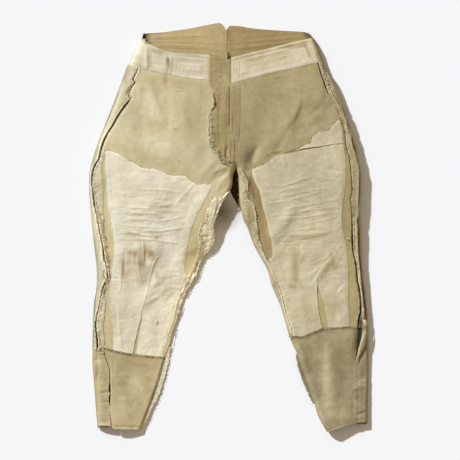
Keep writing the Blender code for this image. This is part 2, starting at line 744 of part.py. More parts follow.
def make_waist_hook(paint):
    """Flat wire hook that stands up past the top of the fly."""
    top_y = row_curve(row_list(ROWS["l"])[0][0], 1.0)
    seat = float(upper("l", HOOK_X, top_y)) + DRILL / 2 + LAY_GAP + COTTON + LAY_GAP
    back_y = top_y - (HOOK_LENGTH - HOOK_REACH)
    tip_y = top_y + HOOK_REACH
    profile = (
        (back_y, 0.0), (back_y, HOOK_WIRE), (tip_y, HOOK_WIRE), (tip_y, -HOOK_DROP),
        (tip_y - HOOK_WIRE, -HOOK_DROP), (tip_y - HOOK_WIRE, 0.0))
    mesh = bmesh.new()
    ends = []
    for x in (HOOK_X - HOOK_WIDTH / 2, HOOK_X + HOOK_WIDTH / 2):
        ends.append([mesh.verts.new(((x - BOX_CENTRE[0]) * MM, (y - BOX_CENTRE[1]) * MM,
                                     (seat + z) * MM)) for y, z in profile])
    mesh.faces.new(ends[0])
    mesh.faces.new(list(reversed(ends[1])))
    count = len(profile)
    for i in range(count):
        j = (i + 1) % count
        mesh.faces.new((ends[0][j], ends[0][i], ends[1][i], ends[1][j]))
    bmesh.ops.recalc_face_normals(mesh, faces=mesh.faces)
    bmesh.ops.triangulate(mesh, faces=mesh.faces)
    finish("waist_hook", mesh, paint["steel"])


def main():
    for thing in list(bpy.data.objects):
        bpy.data.objects.remove(thing, do_unlink=True)
    paint = {
        "drill": finish_material("khaki drill", (0.52, 0.44, 0.26), 0.9),
        "cotton": finish_material("cream cotton", (0.72, 0.65, 0.5), 0.85),
        "steel": finish_material("rusted steel", (0.1, 0.07, 0.05), 0.6, 0.7),
    }
    for side in ("l", "r"):
        front, index = make_front(side, paint)
        back, added = make_back(side, index, paint)
        make_waist_facing(side, front, back, added, index, paint)
        calf_back = make_calf(side, paint)
        if side == "r":
            make_placket_pieces(calf_back, paint)
    make_waist_hook(paint)


main()
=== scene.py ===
"""Riding breeches of khaki drill, turned inside out and laid flat on their back, front up.

Every cloth piece is a thin closed shell on the form of the solids, with its own creases,
frayed edges and sewing. Left and right are the sides of the picture, x to the right,
y towards the waist, z up. Lines of the cloth are drawn in steps of the photograph,
x to the right and y down, and turned into millimetres by place().
"""
import math

import bpy
import numpy as np
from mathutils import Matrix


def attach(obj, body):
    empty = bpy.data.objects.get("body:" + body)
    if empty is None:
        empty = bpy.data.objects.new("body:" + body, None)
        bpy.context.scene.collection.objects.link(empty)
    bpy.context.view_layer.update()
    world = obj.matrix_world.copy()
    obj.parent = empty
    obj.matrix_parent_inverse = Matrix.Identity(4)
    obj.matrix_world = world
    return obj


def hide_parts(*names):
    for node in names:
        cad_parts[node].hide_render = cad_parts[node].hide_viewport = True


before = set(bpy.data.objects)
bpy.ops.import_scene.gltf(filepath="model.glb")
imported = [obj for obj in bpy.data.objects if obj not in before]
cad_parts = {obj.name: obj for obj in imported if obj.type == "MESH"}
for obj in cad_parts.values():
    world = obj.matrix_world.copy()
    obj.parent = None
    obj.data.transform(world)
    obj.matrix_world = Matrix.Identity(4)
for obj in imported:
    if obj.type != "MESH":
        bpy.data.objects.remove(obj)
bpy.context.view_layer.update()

# A millimetre in metres and the middle of the garment's outline in millimetres
MM = 0.001
BOX_CENTRE = (-0.1, -3.3)
# Millimetres to a drawing step, and the step at which x and y are zero
UNIT = 2.4
DRAWING_ZERO = (228.4, 227.2)

# Thickness of a solid's wall, of the cloths, and the gap between two that lie on each other
DRILL = 1.5
DRILL_CLOTH = 0.9
COTTON_CLOTH = 0.6
LIFT = 0.35
# How far a laid cloth's sewn edge is pressed into the one below, and its deepest fold
PRESSED = 0.1
DEEPEST = -0.25
# The lowest that a piece comes to the surface
LOWEST = 0.05

# The form that the solids have: crotch point, rounded edges, share of the height at the edge
CROTCH_X = 18.0
CROTCH_Y = 142.0
UNDER_RADIUS = 12.0
# How far in the upper layer turns over: outer edge, inner edge, fork of the legs
RADIUS = {"l": (22.0, 9.0, 16.0), "r": (8.0, 14.0, 16.0)}
EDGE_SHARE = 0.42
INNER_SLANT = 0.93
# How much lower the right leg is at its outer edge, and how far in it is back to full height
OUTER_DROP = 0.16
OUTER_DROP_REACH = 60
# The left leg's inner side slopes slowly: from where to where down the leg, how much, how wide
SLOPE_STARTS = (-10, 70)
SLOPE_SHARE = 0.75
SLOPE_SPAN = (-4, 60)
# Rounds to find where lengthwise and crosswise lines meet
ROUNDS = 14


def place(points):
    """Millimetres on the table from drawing steps."""
    points = np.asarray(points, dtype=float)
    x = (points[..., 0] - DRAWING_ZERO[0]) * UNIT
    y = (DRAWING_ZERO[1] - points[..., 1]) * UNIT
    return np.stack([x, y], axis=-1)


def table(columns, rows):
    """Named columns from rows."""
    values = np.array(rows, dtype=float)
    return {name: values[:, i] for i, name in enumerate(columns.split())}


def through(stations, values, t):
    """A smooth curve through values at rising stations that never overshoots."""
    rates = np.diff(values) / np.diff(stations)
    product = rates[:-1] * rates[1:]
    total = np.where(product > 0, rates[:-1] + rates[1:], 1.0)
    slopes = np.concatenate([rates[:1], 2 * np.maximum(product, 0) / total, rates[-1:]])
    t = np.clip(t, stations[0], stations[-1])
    i = np.clip(np.searchsorted(stations, t) - 1, 0, len(stations) - 2)
    span = stations[i + 1] - stations[i]
    s = (t - stations[i]) / span
    rise = s * s * (3 - 2 * s)
    start = s * (1 - s) ** 2 * slopes[i] * span
    end = -s * s * (1 - s) * slopes[i + 1] * span
    return values[i] + (values[i + 1] - values[i]) * rise + start + end


def lengthwise(points):
    """A line that runs down the garment: x as a function of y."""
    xy = place(points)
    xy = xy[np.argsort(xy[:, 1])]
    return lambda y: through(xy[:, 1], xy[:, 0], y)


def crosswise(points):
    """A line that runs across the garment: y as a function of x."""
    xy = place(points)
    xy = xy[np.argsort(xy[:, 0])]
    return lambda x: through(xy[:, 0], xy[:, 1], x)


def level_line(step):
    """A straight line across at a drawing step down."""
    at = (DRAWING_ZERO[1] - step) * UNIT
    return lambda x: at + 0 * x


def upright_line(step):
    """A straight line down at a drawing step across."""
    at = (step - DRAWING_ZERO[0]) * UNIT
    return lambda y: at + 0 * y


def shifted(line, by):
    """A line moved by so many millimetres."""
    return lambda t: line(t) + by


def lengthwise_table(rows):
    """A value in millimetres by drawing step down, as a function of y."""
    y = (DRAWING_ZERO[1] - np.array([row[0] for row in rows])) * UNIT
    values = np.array([row[1] for row in rows], dtype=float)
    order = np.argsort(y)
    return lambda at: through(y[order], values[order], at)


def step_between(value, low, high):
    """0 below low, 1 above high and smooth between."""
    t = np.clip((value - low) / (high - low), 0, 1)
    return t * t * (3 - 2 * t)


def noise(x, y, size, seed):
    """Soft even noise from -1 to 1 with features about size across."""
    x = np.asarray(x, dtype=float) / size
    y = np.asarray(y, dtype=float) / size
    i, j = np.floor(x), np.floor(y)
    u, v = x - i, y - j
    u = u * u * u * (u * (6 * u - 15) + 10)
    v = v * v * v * (v * (6 * v - 15) + 10)

    def corner(a, b):
        wave = np.sin(a * 127.1 + b * 311.7 + seed * 74.7) * 43758.5453
        return 2 * (wave - np.floor(wave)) - 1

    low = corner(i, j) * (1 - u) + corner(i + 1, j) * u
    high = corner(i, j + 1) * (1 - u) + corner(i + 1, j + 1) * u
    return low * (1 - v) + high * v


def ragged(line, depth, seed, size):
    """A line with a worn edge: slow waves and small nicks."""
    def worn(t):
        wave = noise(t, 0 * t, size, seed) + 0.6 * noise(t, 0 * t, size / 2.7, seed + 1)
        return line(t) + depth * wave
    return worn


# Silhouettes, from the waist down
OUTER = {"l": lengthwise([
    (143.3, 33), (142, 37), (140.4, 41), (138.4, 44.4), (136.4, 48), (131.6, 57), (129, 62.6),
    (126.4, 68), (122, 80), (117.2, 92), (113, 104), (108.4, 116), (103.6, 128), (98.5, 140),
    (94.8, 152), (91.2, 164), (89, 176), (89, 188), (89.8, 201), (91.3, 218), (93, 236), (94.7, 250),
    (96.3, 264), (97, 278), (96, 290), (94, 302), (93, 319), (92.3, 340), (92.2, 361), (93.2, 376),
    (95.2, 402), (97.3, 429),
]), "r": lengthwise([
    (310, 34), (312, 36), (316.5, 44), (319.5, 50), (321.8, 58), (325.5, 68), (333, 80), (340, 98),
    (343.5, 108), (348.3, 122), (355.6, 144), (357.5, 156), (360.7, 173), (360.2, 205), (360.8, 237),
    (361.5, 256), (363.3, 280), (365.9, 300), (367.6, 316), (368.5, 335), (368.6, 371), (367.8, 402),
    (367.6, 425),
])}
INNER = {"l": lengthwise([
    (235.9, 168), (232.9, 176), (232.3, 184), (230.4, 190), (225.3, 198), (219.5, 209), (217, 216),
    (214.6, 226), (215, 238), (210.8, 249), (204, 256), (199.8, 265), (196.3, 276), (191.5, 283),
    (186.5, 291), (183.2, 298), (178.2, 316), (174, 327), (169.9, 344), (165.2, 358), (158.6, 381),
    (150.4, 404), (140.2, 430),
]), "r": lengthwise([
    (235.9, 168), (238.3, 176), (238.8, 184), (239.8, 200), (243.2, 219), (248.1, 229), (253, 243),
    (259.3, 255), (267.9, 271), (271.7, 285), (279.4, 303), (284.7, 319.5), (290.1, 338.6),
    (297.1, 354), (305.3, 376), (313.5, 400), (317.6, 415), (326.7, 432),
])}

# Centre front and centre back, down to the crotch
CENTRE_FRONT = lengthwise([
    (229.6, 20), (229.6, 127), (231.3, 132), (233.4, 142), (233.8, 158), (235.9, 168)])
CENTRE_BACK = lengthwise([(226.3, 20), (228, 125), (229, 142), (232, 160), (235.9, 168)])

# Side seams
SEAM = {"l": lengthwise([
    (146, 41), (142, 56), (138.1, 69), (136.5, 73), (133.3, 80), (134.9, 82.5), (132.2, 87),
    (128.8, 95), (130, 98), (124, 107), (118.3, 115.5), (111.9, 127), (107.4, 134), (103.6, 142),
    (101, 151), (99.1, 159), (95.3, 165), (92.8, 173), (91.8, 184), (93.1, 190), (94.4, 204),
    (97.5, 216.5), (99.6, 229), (101.8, 240), (103.5, 250), (104.2, 259), (107, 266), (107.7, 277),
    (106, 281), (102.8, 289), (99.6, 305), (96.8, 316), (95.4, 325), (96.8, 337), (97.2, 349),
    (97.2, 352),
]), "r": lengthwise([
    (310, 36), (317.9, 62.6), (328.8, 94.9), (334, 105), (340.6, 118.7), (344.8, 134.6), (345.7, 146),
    (349.5, 159), (350.8, 173), (352.1, 190), (350.3, 200), (351.6, 209), (352.5, 234), (353.2, 250),
    (356.4, 265), (357.6, 279.5), (359.6, 289), (360.8, 300), (361.3, 310), (359.6, 318), (358, 330),
])}

# Height of the laid garment over the surface, by the outer and by the inner edge
HEIGHT = {"l": table("y outer inner", [
    (-486, 14, 26), (-400, 13, 18), (-295, 17, 13), (-175, 21, 13), (-55, 24, 18), (65, 27, 28),
    (180, 28, 30), (296, 25, 26), (411, 19, 20), (468, 15, 15),
]), "r": table("y outer inner", [
    (-494, 14, 25), (-357, 12, 19), (-241, 17, 18), (-175, 19, 18), (-55, 22, 22), (65, 26, 28),
    (180, 29, 30), (296, 27, 26), (411, 22, 20), (468, 18, 15),
])}

# Main folds, in millimetres: the line each follows, its half width and its height
FOLDS = table("y x y1 x1 width height", [
    (311, 183, 235, 146, 13, 2.4), (296, 190, 228, 160, 12, -1.4), (311, 235, 262, 200, 13, 2.6),
    (190, 62, 140, 42, 17, -3), (45, 160, -30, 100, 14, 3), (-75, 244, -115, 215, 12, 3.5),
    (-115, -160, -190, -210, 14, 3.5), (-45, -216, -90, -212, 10, 3), (-40, -168, -100, -190, 12, 3),
    (210, -60, 150, -20, 16, 3)])
FOLD_FULL = 0.3


def fold_relief(x, y):
    """Soft ridges and troughs, each fading out at both ends."""
    relief = np.zeros(np.shape(x))
    for i in range(len(FOLDS["y"])):
        ax, ay = FOLDS["x"][i], FOLDS["y"][i]
        bx, by = FOLDS["x1"][i], FOLDS["y1"][i]
        length = math.hypot(bx - ax, by - ay)
        ux, uy = (bx - ax) / length, (by - ay) / length
        along = ((x - ax) * ux + (y - ay) * uy) / length
        across = ((x - ax) * uy - (y - ay) * ux) / FOLDS["width"][i]
        beyond = np.maximum(np.abs(along - 0.5) - FOLD_FULL, 0) * length / FOLDS["width"][i]
        relief = relief + FOLDS["height"][i] * np.exp(-across ** 2 - (0.6 * beyond) ** 2)
    return relief


def centre_front(side, y):
    """Inner limit of a front: centre front, then the leg's inner silhouette."""
    return np.where(y >= CROTCH_Y, CENTRE_FRONT(y), INNER[side](y))


def turn(distance, radius):
    """Quarter ellipse: 0 on the silhouette, 1 from one radius in."""
    inside = 1 - np.clip(distance / radius, 0, 1)
    return np.sqrt(1 - inside ** 2)


# Share of the height at the inner edge of each leg, by drawing step down
EDGE_INNER = {"l": lengthwise_table([
    (20, 0.42), (165, 0.42), (215, 0.4), (240, 0.3), (262, 0.16), (300, 0.2), (430, 0.26),
]), "r": lengthwise_table([
    (20, 0.42), (430, 0.42),
])}


def heights(side, x, y):
    """Height of the upper layer and of the rounded edge, and the ways in from both edges."""
    outer = np.abs(x - OUTER[side](y))
    below = np.abs(x - INNER[side](y)) * INNER_SLANT
    above = np.hypot(x - CROTCH_X, y - CROTCH_Y)
    inner = np.where(y >= CROTCH_Y, above, below)
    share = outer / (outer + inner + 1e-6)
    lines = HEIGHT[side]
    high = through(lines["y"], lines["outer"], y) * (1 - share)
    high = high + through(lines["y"], lines["inner"], y) * share
    if side == "r":
        high = high * (1 - OUTER_DROP + OUTER_DROP * step_between(outer, 0, OUTER_DROP_REACH))
    edge = EDGE_SHARE + (EDGE_INNER[side](y) - EDGE_SHARE) * share
    return high, high * edge, outer, inner


def upper(side, x, y):
    """Height of the outer face of the upper layer, with its creases."""
    high, edge, outer, inner = heights(side, x, y)
    by_outer, by_inner, by_fork = RADIUS[side]
    fade = step_between(y, CROTCH_Y - 30, CROTCH_Y + 10)
    shape = turn(inner, by_inner + (by_fork - by_inner) * fade)
    if side == "l":
        sloping = step_between(-y, *SLOPE_STARTS) * SLOPE_SHARE
        shape = shape * (1 - sloping) + step_between(inner, *SLOPE_SPAN) * sloping
    shape = shape * turn(outer, by_outer)
    rise = fold_relief(x, y) + creases(side, x, y)
    return edge + (high - edge + rise) * shape


def under(side, x, y):
    """Height of the middle of the lower layer, flat but for its edges."""
    _, edge, outer, inner = heights(side, x, y)
    lift = (1 - turn(outer, UNDER_RADIUS)) + (1 - turn(inner, UNDER_RADIUS))
    return DRILL / 2 + (edge - DRILL / 2) * np.clip(lift, 0, 1)


def strokes(rows, x, y):
    """Sum of soft strokes in drawing steps: from x y, to x y, half width and strength."""
    total = np.zeros(np.shape(x))
    for ax, ay, bx, by, width, strength in rows:
        (ax, ay), (bx, by) = place([(ax, ay), (bx, by)])
        width = width * UNIT
        reach = 2.6 * width
        near = (x > min(ax, bx) - reach) & (x < max(ax, bx) + reach)
        near &= (y > min(ay, by) - reach) & (y < max(ay, by) + reach)
        if not near.any():
            continue
        px, py = x[near] - ax, y[near] - ay
        length = math.hypot(bx - ax, by - ay) + 1e-6
        ux, uy = (bx - ax) / length, (by - ay) / length
        along = px * ux + py * uy
        across = (px * uy - py * ux) / width
        beyond = np.maximum(np.abs(along - length / 2) - length / 4, 0)
        beyond = beyond / max(length / 4, width)
        total[near] += strength * np.exp(-across ** 2 - beyond ** 2)
    return total


# Smaller creases of each half, as rows for strokes(): from x y, to x y, half width in steps,
# and height in millimetres. The tables of tones further down have a strength in its place.
CREASES = {
    "l": (
        # the front under the facing
        (167, 73, 167, 85, 2.2, -1.3),
        (150, 82, 157, 112, 4.5, 1.3), (160, 88, 170, 118, 4.5, -1),
        (141, 84, 139, 104, 3, 1), (178, 96, 186, 140, 8, 0.9),
        (134, 112, 146, 150, 6, -0.9), (120, 130, 136, 152, 4, 0.9),
        (196, 104, 200, 150, 6, 0.8), (150, 130, 182, 150, 6, 0.7),
        # towards the crotch
        (228, 166, 213, 172, 2, 1.8), (229, 171, 214, 181, 2, -1.6),
        (226, 176, 217, 190, 1.6, 1.6), (216, 160, 200, 176, 3, 1.2),
        (222, 168, 206, 190, 2, -1), (231, 176, 226, 190, 1.4, -1.4),
        # outer edge
        (110, 122, 101, 146, 2, 0.8), (93, 178, 91, 200, 1.6, 0.8),
        (97, 300, 94, 330, 1.4, 0.6)),
    "r": (
        (303.6, 95, 302, 109, 2, -0.7), (302.4, 105, 297, 119, 1.9, -1.9),
        (297.6, 117, 286, 134, 2.2, -1.8), (287, 133, 276, 152, 2.8, -1.5),
        (326, 84, 325.4, 98, 2.8, -1.2), (325, 97, 318, 110, 2.8, -1.5),
        (319, 108, 307, 121, 3, -1.3), (310, 100, 304, 116, 4, 0.8),
        (270, 140, 258, 160, 4.5, 1.2),
        (252, 90, 252, 130, 5, 0.7), (262, 86, 272, 126, 7, -0.6),
        (312, 122, 296, 142, 4, 0.7),
        (256, 147, 250, 164, 2.6, -2.4), (246, 150, 243, 168, 3, 0.8),
        (238, 172, 246, 168, 1.6, 1.2),
        (272, 84, 279, 84, 1, -0.8), (271, 78, 280, 77, 1, 0.8),
        (358, 190, 358.6, 240, 1.2, 0.6)),
}
SEAM_VALLEY = table("y depth width", [
    (-300, 1.6, 3), (100, 1.8, 3.2), (150, 2.6, 3.6), (190, 4.2, 4.6), (330, 4.2, 4.6), (350, 2.4, 3.4),
    (375, 1.6, 3), (383, 0, 3), (500, 0, 3)])
VALLEY_SHARE = {"l": 1.0, "r": 0.5}


def creases(side, x, y):
    """Small listed creases, the side seam's valley and the unevenness of washed drill."""
    rise = strokes(CREASES[side], x, y)
    rise = rise + 0.45 * noise(x, y, 46, 3) + 0.25 * noise(x, y, 17, 5)
    rise = rise + 0.12 * noise(x + 0.4 * y, y - 0.4 * x, 7, 8)
    depth = through(SEAM_VALLEY["y"], SEAM_VALLEY["depth"], y) * VALLEY_SHARE[side]
    width = through(SEAM_VALLEY["y"], SEAM_VALLEY["width"], y)
    return rise - depth * np.exp(-((x - SEAM[side](y)) / width) ** 2)


def patch(left, right, top, bottom, step):
    """Points between two lengthwise and two crosswise lines, about a step apart."""
    def end(edge, share):
        middle = (left(0.0) + right(0.0)) / 2
        y = np.full(share.shape, float(edge(np.array(middle))))
        for _ in range(ROUNDS):
            x = left(y) + (right(y) - left(y)) * share
            y = edge(x)
        return y

    share = np.linspace(0, 1, 41)
    high, low = end(top, share), end(bottom, share)
    mids = [high + (low - high) * v for v in np.linspace(0, 1, 9)]
    width = max(float(np.ptp(left(y) + (right(y) - left(y)) * share)) for y in mids)
    u = np.linspace(0, 1, max(2, int(round(width / step)) + 1))
    v = np.linspace(0, 1, max(2, int(round(float(np.max(high - low)) / step)) + 1))[:, None]
    high, low = end(top, u), end(bottom, u)
    y = high + (low - high) * v
    return left(y) + (right(y) - left(y)) * u, y, u, v


def settled(x, y, reach, sides="lrtb"):
    """0 on the chosen borders of a grid of points and 1 from so many millimetres in."""
    across = np.hypot(np.diff(x, axis=1), np.diff(y, axis=1))
    along = np.hypot(np.diff(x, axis=0), np.diff(y, axis=0))
    u = np.concatenate([np.zeros((x.shape[0], 1)), np.cumsum(across, axis=1)], axis=1)
    v = np.concatenate([np.zeros((1, x.shape[1])), np.cumsum(along, axis=0)], axis=0)
    ways = {"l": u, "r": u[:, -1:] - u, "t": v, "b": v[-1:] - v}
    least = np.min([ways[s] for s in sides], axis=0)
    return step_between(least, 0, reach)


def laid(side, x, y, thickness, rise, rim):
    """Outer face of a cloth laid on the panel: pressed down where rim is 0, loose where 1."""
    loose = np.maximum(rise, DEEPEST) + LIFT + PRESSED
    return top_face(side, x, y, thickness - PRESSED) + loose * rim


def shell(name, points, thickness, finish, keep, shades, turned):
    """A closed thin shell: its outer face through the points, its inner face below.

    Only the cells in keep are made, and turned is for a grid that runs the other way round.
    """
    rows, columns = points.shape[:2]
    down = np.gradient(points, axis=0)
    across = np.gradient(points, axis=1)
    normal = np.cross(down, across)
    normal /= np.maximum(np.linalg.norm(normal, axis=-1, keepdims=True), 1e-9)
    count = rows * columns
    index = np.arange(count).reshape(rows, columns)
    cells = np.stack([index[:-1, :-1], index[1:, :-1], index[1:, 1:], index[:-1, 1:]], axis=-1)
    cells = cells.reshape(-1, 4) if keep is None else cells[keep]
    if turned:
        cells = cells[:, ::-1]
        normal = -normal
    inner = points - normal * thickness
    first = cells.reshape(-1)
    second = np.roll(cells, -1, axis=1).reshape(-1)
    edges = first * count + second
    border = ~np.isin(edges, second * count + first)
    a, b = first[border], second[border]
    rim = np.stack([b, a, a + count, b + count], axis=1)
    faces = np.concatenate([cells, cells[:, ::-1] + count, rim])
    used, faces = np.unique(faces, return_inverse=True)
    faces = faces.reshape(-1, 4)
    places = np.concatenate([points.reshape(-1, 3), inner.reshape(-1, 3)])[used]
    places[:, 2] = np.maximum(places[:, 2], LOWEST)
    thing = solid(name, places, faces, finish)
    for tone, values in shades.items():
        values = np.tile(np.broadcast_to(values, (rows, columns)).reshape(-1), 2)[used]
        spread = thing.data.attributes.new(tone, "FLOAT", "POINT")
        spread.data.foreach_set("value", values.astype(np.float32))
    return thing


def solid(name, places, faces, finish):
    """One object from places in millimetres and faces, smooth but for its rim."""
    data = bpy.data.meshes.new(name)
    places = (places - (BOX_CENTRE[0], BOX_CENTRE[1], 0)) * MM
    data.from_pydata(places.tolist(), [], faces.tolist())
    data.shade_smooth()
    data.set_sharp_from_angle(angle=math.radians(55))
    data.materials.append(finish)
    thing = link(name, data)
    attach(thing, "root")
    return thing


class Value:
    """A shader number that sums add their Math nodes to."""

    def __init__(self, finish, socket):
        self.finish = finish
        self.socket = socket

    def _with(self, operation, first, second):
        node = self.finish.add("ShaderNodeMath", {"operation": operation}, first, second)
        return Value(self.finish, node.outputs[0])

    def __add__(self, other):
        return self._with("ADD", self, other)

    __radd__ = __add__

    def __sub__(self, other):
        return self._with("SUBTRACT", self, other)

    def __rsub__(self, other):
        return self._with("SUBTRACT", other, self)

    def __mul__(self, other):
        return self._with("MULTIPLY", self, other)

    __rmul__ = __mul__

    def size(self):
        """The number without its sign."""
        return self._with("ABSOLUTE", self, 0.0)

    def clamped(self):
        """The number kept from 0 to 1."""
        node = self.finish.add("ShaderNodeClamp", {}, self, 0.0, 1.0)
        return Value(self.finish, node.outputs[0])


class Finish:
    """The nodes of one material."""

    def __init__(self, name):
        self.material = bpy.data.materials.new(name)
        self.material.use_nodes = True
        self.tree = self.material.node_tree
        self.surface = self.tree.nodes["Principled BSDF"]
        self.place = self.add("ShaderNodeTexCoord", {}).outputs["Object"]

    def add(self, kind, settings, *inputs, **named):
        """A node of a kind, with its settings, then its sockets by order and by name."""
        node = self.tree.nodes.new(kind)
        for setting, value in settings.items():
            setattr(node, setting, value)
        for key, value in [*enumerate(inputs), *named.items()]:
            self.join(node.inputs[key if isinstance(key, int) else key.replace("_", " ")], value)
        return node

    def join(self, socket, value):
        """A link into a socket, or a constant on it."""
        if isinstance(value, Value):
            value = value.socket
        if isinstance(value, bpy.types.NodeSocket):
            self.tree.links.new(value, socket)
        else:
            socket.default_value = value

    def nearness(self, spot, reach):
        """One at a spot, falling to nothing at its reach, in metres."""
        gap = self.add("ShaderNodeVectorMath", {"operation": "DISTANCE"}, self.place, spot)
        return (1 - Value(self, gap.outputs["Value"]) * (1 / reach)).clamped()

    def tone(self, name):
        """One of the tones that a shell carries at its points."""
        node = self.add("ShaderNodeAttribute", {"attribute_name": name})
        return Value(self, node.outputs["Fac"])

    def speckle(self, size, detail=2.0, stretch=None):
        """Noise with features about size millimetres across, from 0 to 1."""
        place = self.place
        if stretch:
            place = self.add("ShaderNodeMapping", {}, Vector=place, Scale=stretch).outputs[0]
        node = self.add("ShaderNodeTexNoise", {}, Vector=place, Scale=1000 / size,
                        Detail=detail, Roughness=0.55)
        return Value(self, node.outputs[0])

    def threads(self, pitch, angle):
        """Parallel threads pitch millimetres apart, from 0 to 1."""
        turned = self.add("ShaderNodeMapping", {}, Vector=self.place,
                          Rotation=(0, 0, math.radians(angle))).outputs[0]
        node = self.add("ShaderNodeTexWave", {"wave_profile": "SIN"}, Vector=turned,
                        Scale=1000 / pitch / 20, Distortion=1.2, Detail=2.0, Detail_Scale=3.0)
        return Value(self, node.outputs["Fac"])

    def blend(self, factor, first, second, kind="MIX"):
        """A colour part way between two."""
        node = self.add("ShaderNodeMix", {"data_type": "RGBA", "blend_type": kind})
        self.join(node.inputs[0], factor)
        self.join(node.inputs[6], first)
        self.join(node.inputs[7], second)
        return node.outputs[2]


def colour(red, green, blue):
    """A linear colour from screen values of 0 to 255."""
    screen = np.array((red, green, blue)) / 255
    linear = np.where(screen > 0.04045, ((screen + 0.055) / 1.055) ** 2.4, screen / 12.92)
    return (*linear.tolist(), 1.0)


def cloth(name, base, fresh, pale, threads, weave, faded=1.0, wrinkles=(0.2, 1.0, 1.0)):
    """Washed cotton: mottled, soiled, worn pale or still fresh where its tones say so, with painted
    shade and painted light from its dark tone, and painted shade along its fine wrinkles.
    """
    f = Finish(name)
    cloud = f.speckle(120, 2.0) - 0.5
    streak = f.speckle(26, 3.0, (1.0, 0.35, 1.0)) - 0.5
    patchy = f.speckle(70, 3.0) - 0.5
    mottle = f.speckle(13, 5.0) - 0.5
    fine = f.speckle(3.4, 4.0) - 0.5
    crease = 1 - ((f.speckle(15, 2.0, wrinkles) - 0.5).size() * 11).clamped()
    crease = crease * f.tone("wrinkled")
    faint = (patchy * 2.2 + mottle * 0.9 + 0.15) * faded
    shade = f.blend((faint + f.tone("worn")).clamped(), base, pale)
    shade = f.blend(f.tone("fresh").clamped(), shade, fresh)
    soiled = f.tone("soiled") * (1 + mottle * 1.2) + patchy * 0.6 + mottle * 0.3
    shade = f.blend(soiled.clamped(), shade, SOIL)
    # the dark tone paints shade, and below zero it paints light by lifting the colour
    lifted = (f.tone("dark") * -1).clamped()
    light = (1 + cloud * 0.4 + streak * 0.34 + mottle * 0.26 + fine * 0.2) * (1 + lifted)
    # painted shade along the fine wrinkles
    light = light * (1 - crease * 0.12)
    grey = f.add("ShaderNodeCombineColor", {}, light, light, light).outputs[0]
    shade = f.blend(1.0, shade, grey, "MULTIPLY")
    # a strong dark tone goes over to a painted shade colour, in seam gaps, hollows and tucked edges
    shade = f.blend(f.tone("dark").clamped() * 0.93, shade, PAINTED_SHADE_BROWN)
    f.join(f.surface.inputs["Base Color"], shade)
    f.join(f.surface.inputs["Roughness"], 0.9)
    f.join(f.surface.inputs["Specular IOR Level"], 0.15)
    f.join(f.surface.inputs["Sheen Weight"], 0.12)
    f.join(f.surface.inputs["Sheen Roughness"], 0.6)
    relief = f.threads(threads[0], weave) * 0.1 + f.threads(threads[1], weave + threads[2]) * 0.07
    relief = relief + f.speckle(1.6, 2.0) * 0.2 + f.speckle(9.0, 3.0) * 1.5 - crease * 1.3
    bump = f.add("ShaderNodeBump", {}, Strength=0.7, Distance=0.0005, Height=relief)
    f.join(f.surface.inputs["Normal"], bump.outputs[0])
    return f.material


def plain(name, base, rough, metal=0.0, size=3.0):
    """Thread or metal: one colour, gently broken up."""
    f = Finish(name)
    dark = tuple(c * 0.62 for c in base[:3]) + (1.0,)
    f.join(f.surface.inputs["Base Color"], f.blend(f.speckle(size, 3.0), dark, base))
    f.join(f.surface.inputs["Roughness"], rough)
    f.join(f.surface.inputs["Metallic"], metal)
    bump = f.add("ShaderNodeBump", {}, Strength=0.4, Distance=0.0002, Height=f.speckle(0.8, 2.0))
    f.join(f.surface.inputs["Normal"], bump.outputs[0])
    return f.material


DRILL_THREADS = (0.9, 0.55, 90)
COTTON_THREADS = (0.7, 0.7, 90)
SOIL = colour(162, 138, 94)
# The colour of painted shade in seam gaps, hollows and tucked edges
PAINTED_SHADE_BROWN = colour(32, 22, 8)
GOLD = {"l": colour(210, 196, 148), "r": colour(180, 163, 112)}

WAIST_FRONT = {"l": crosswise([
    (141, 36.4), (143.6, 40.6), (147, 43.1), (152, 45.6), (163.7, 50.5), (173, 52.6), (192, 53.9),
    (209, 55.2), (231, 56),
]), "r": crosswise([
    (228, 58.4), (231.6, 57.8), (248, 53.6), (269, 48.7), (290, 43.1), (307, 39.2), (312, 38.2),
    (320, 37),
])}
FACING_LOWER = {"l": crosswise([
    (127, 63.6), (129, 64), (138, 67), (144.6, 69.7), (168, 74.6), (186, 77.8), (208.3, 80.4),
    (215, 81),
]), "r": crosswise([
    (228, 84.2), (231.6, 83.4), (255, 77.5), (276, 72.2), (297, 67.3), (317.5, 62.7), (324, 61.4),
])}
CALF_SEAM = {"l": crosswise([
    (90, 348.6), (97, 349), (104.5, 348.3), (110, 349.3), (120, 351.8), (129, 353.5), (143, 355.3),
    (164, 357.4), (170, 358),
]), "r": crosswise([
    (285, 336.5), (290, 336.5), (301, 336.5), (311, 333), (323.5, 328.5), (336, 327.3), (350, 326.7),
    (355.6, 327.5), (370, 328),
])}
HEM = {"l": crosswise([
    (93, 427.7), (97.3, 427.9), (111.6, 427.3), (113.7, 428.9), (140.2, 429.6), (146, 430),
]), "r": crosswise([
    (322, 433.4), (326.7, 431.9), (338, 428), (351.2, 424.3), (367.6, 423.8), (372, 423.8),
])}
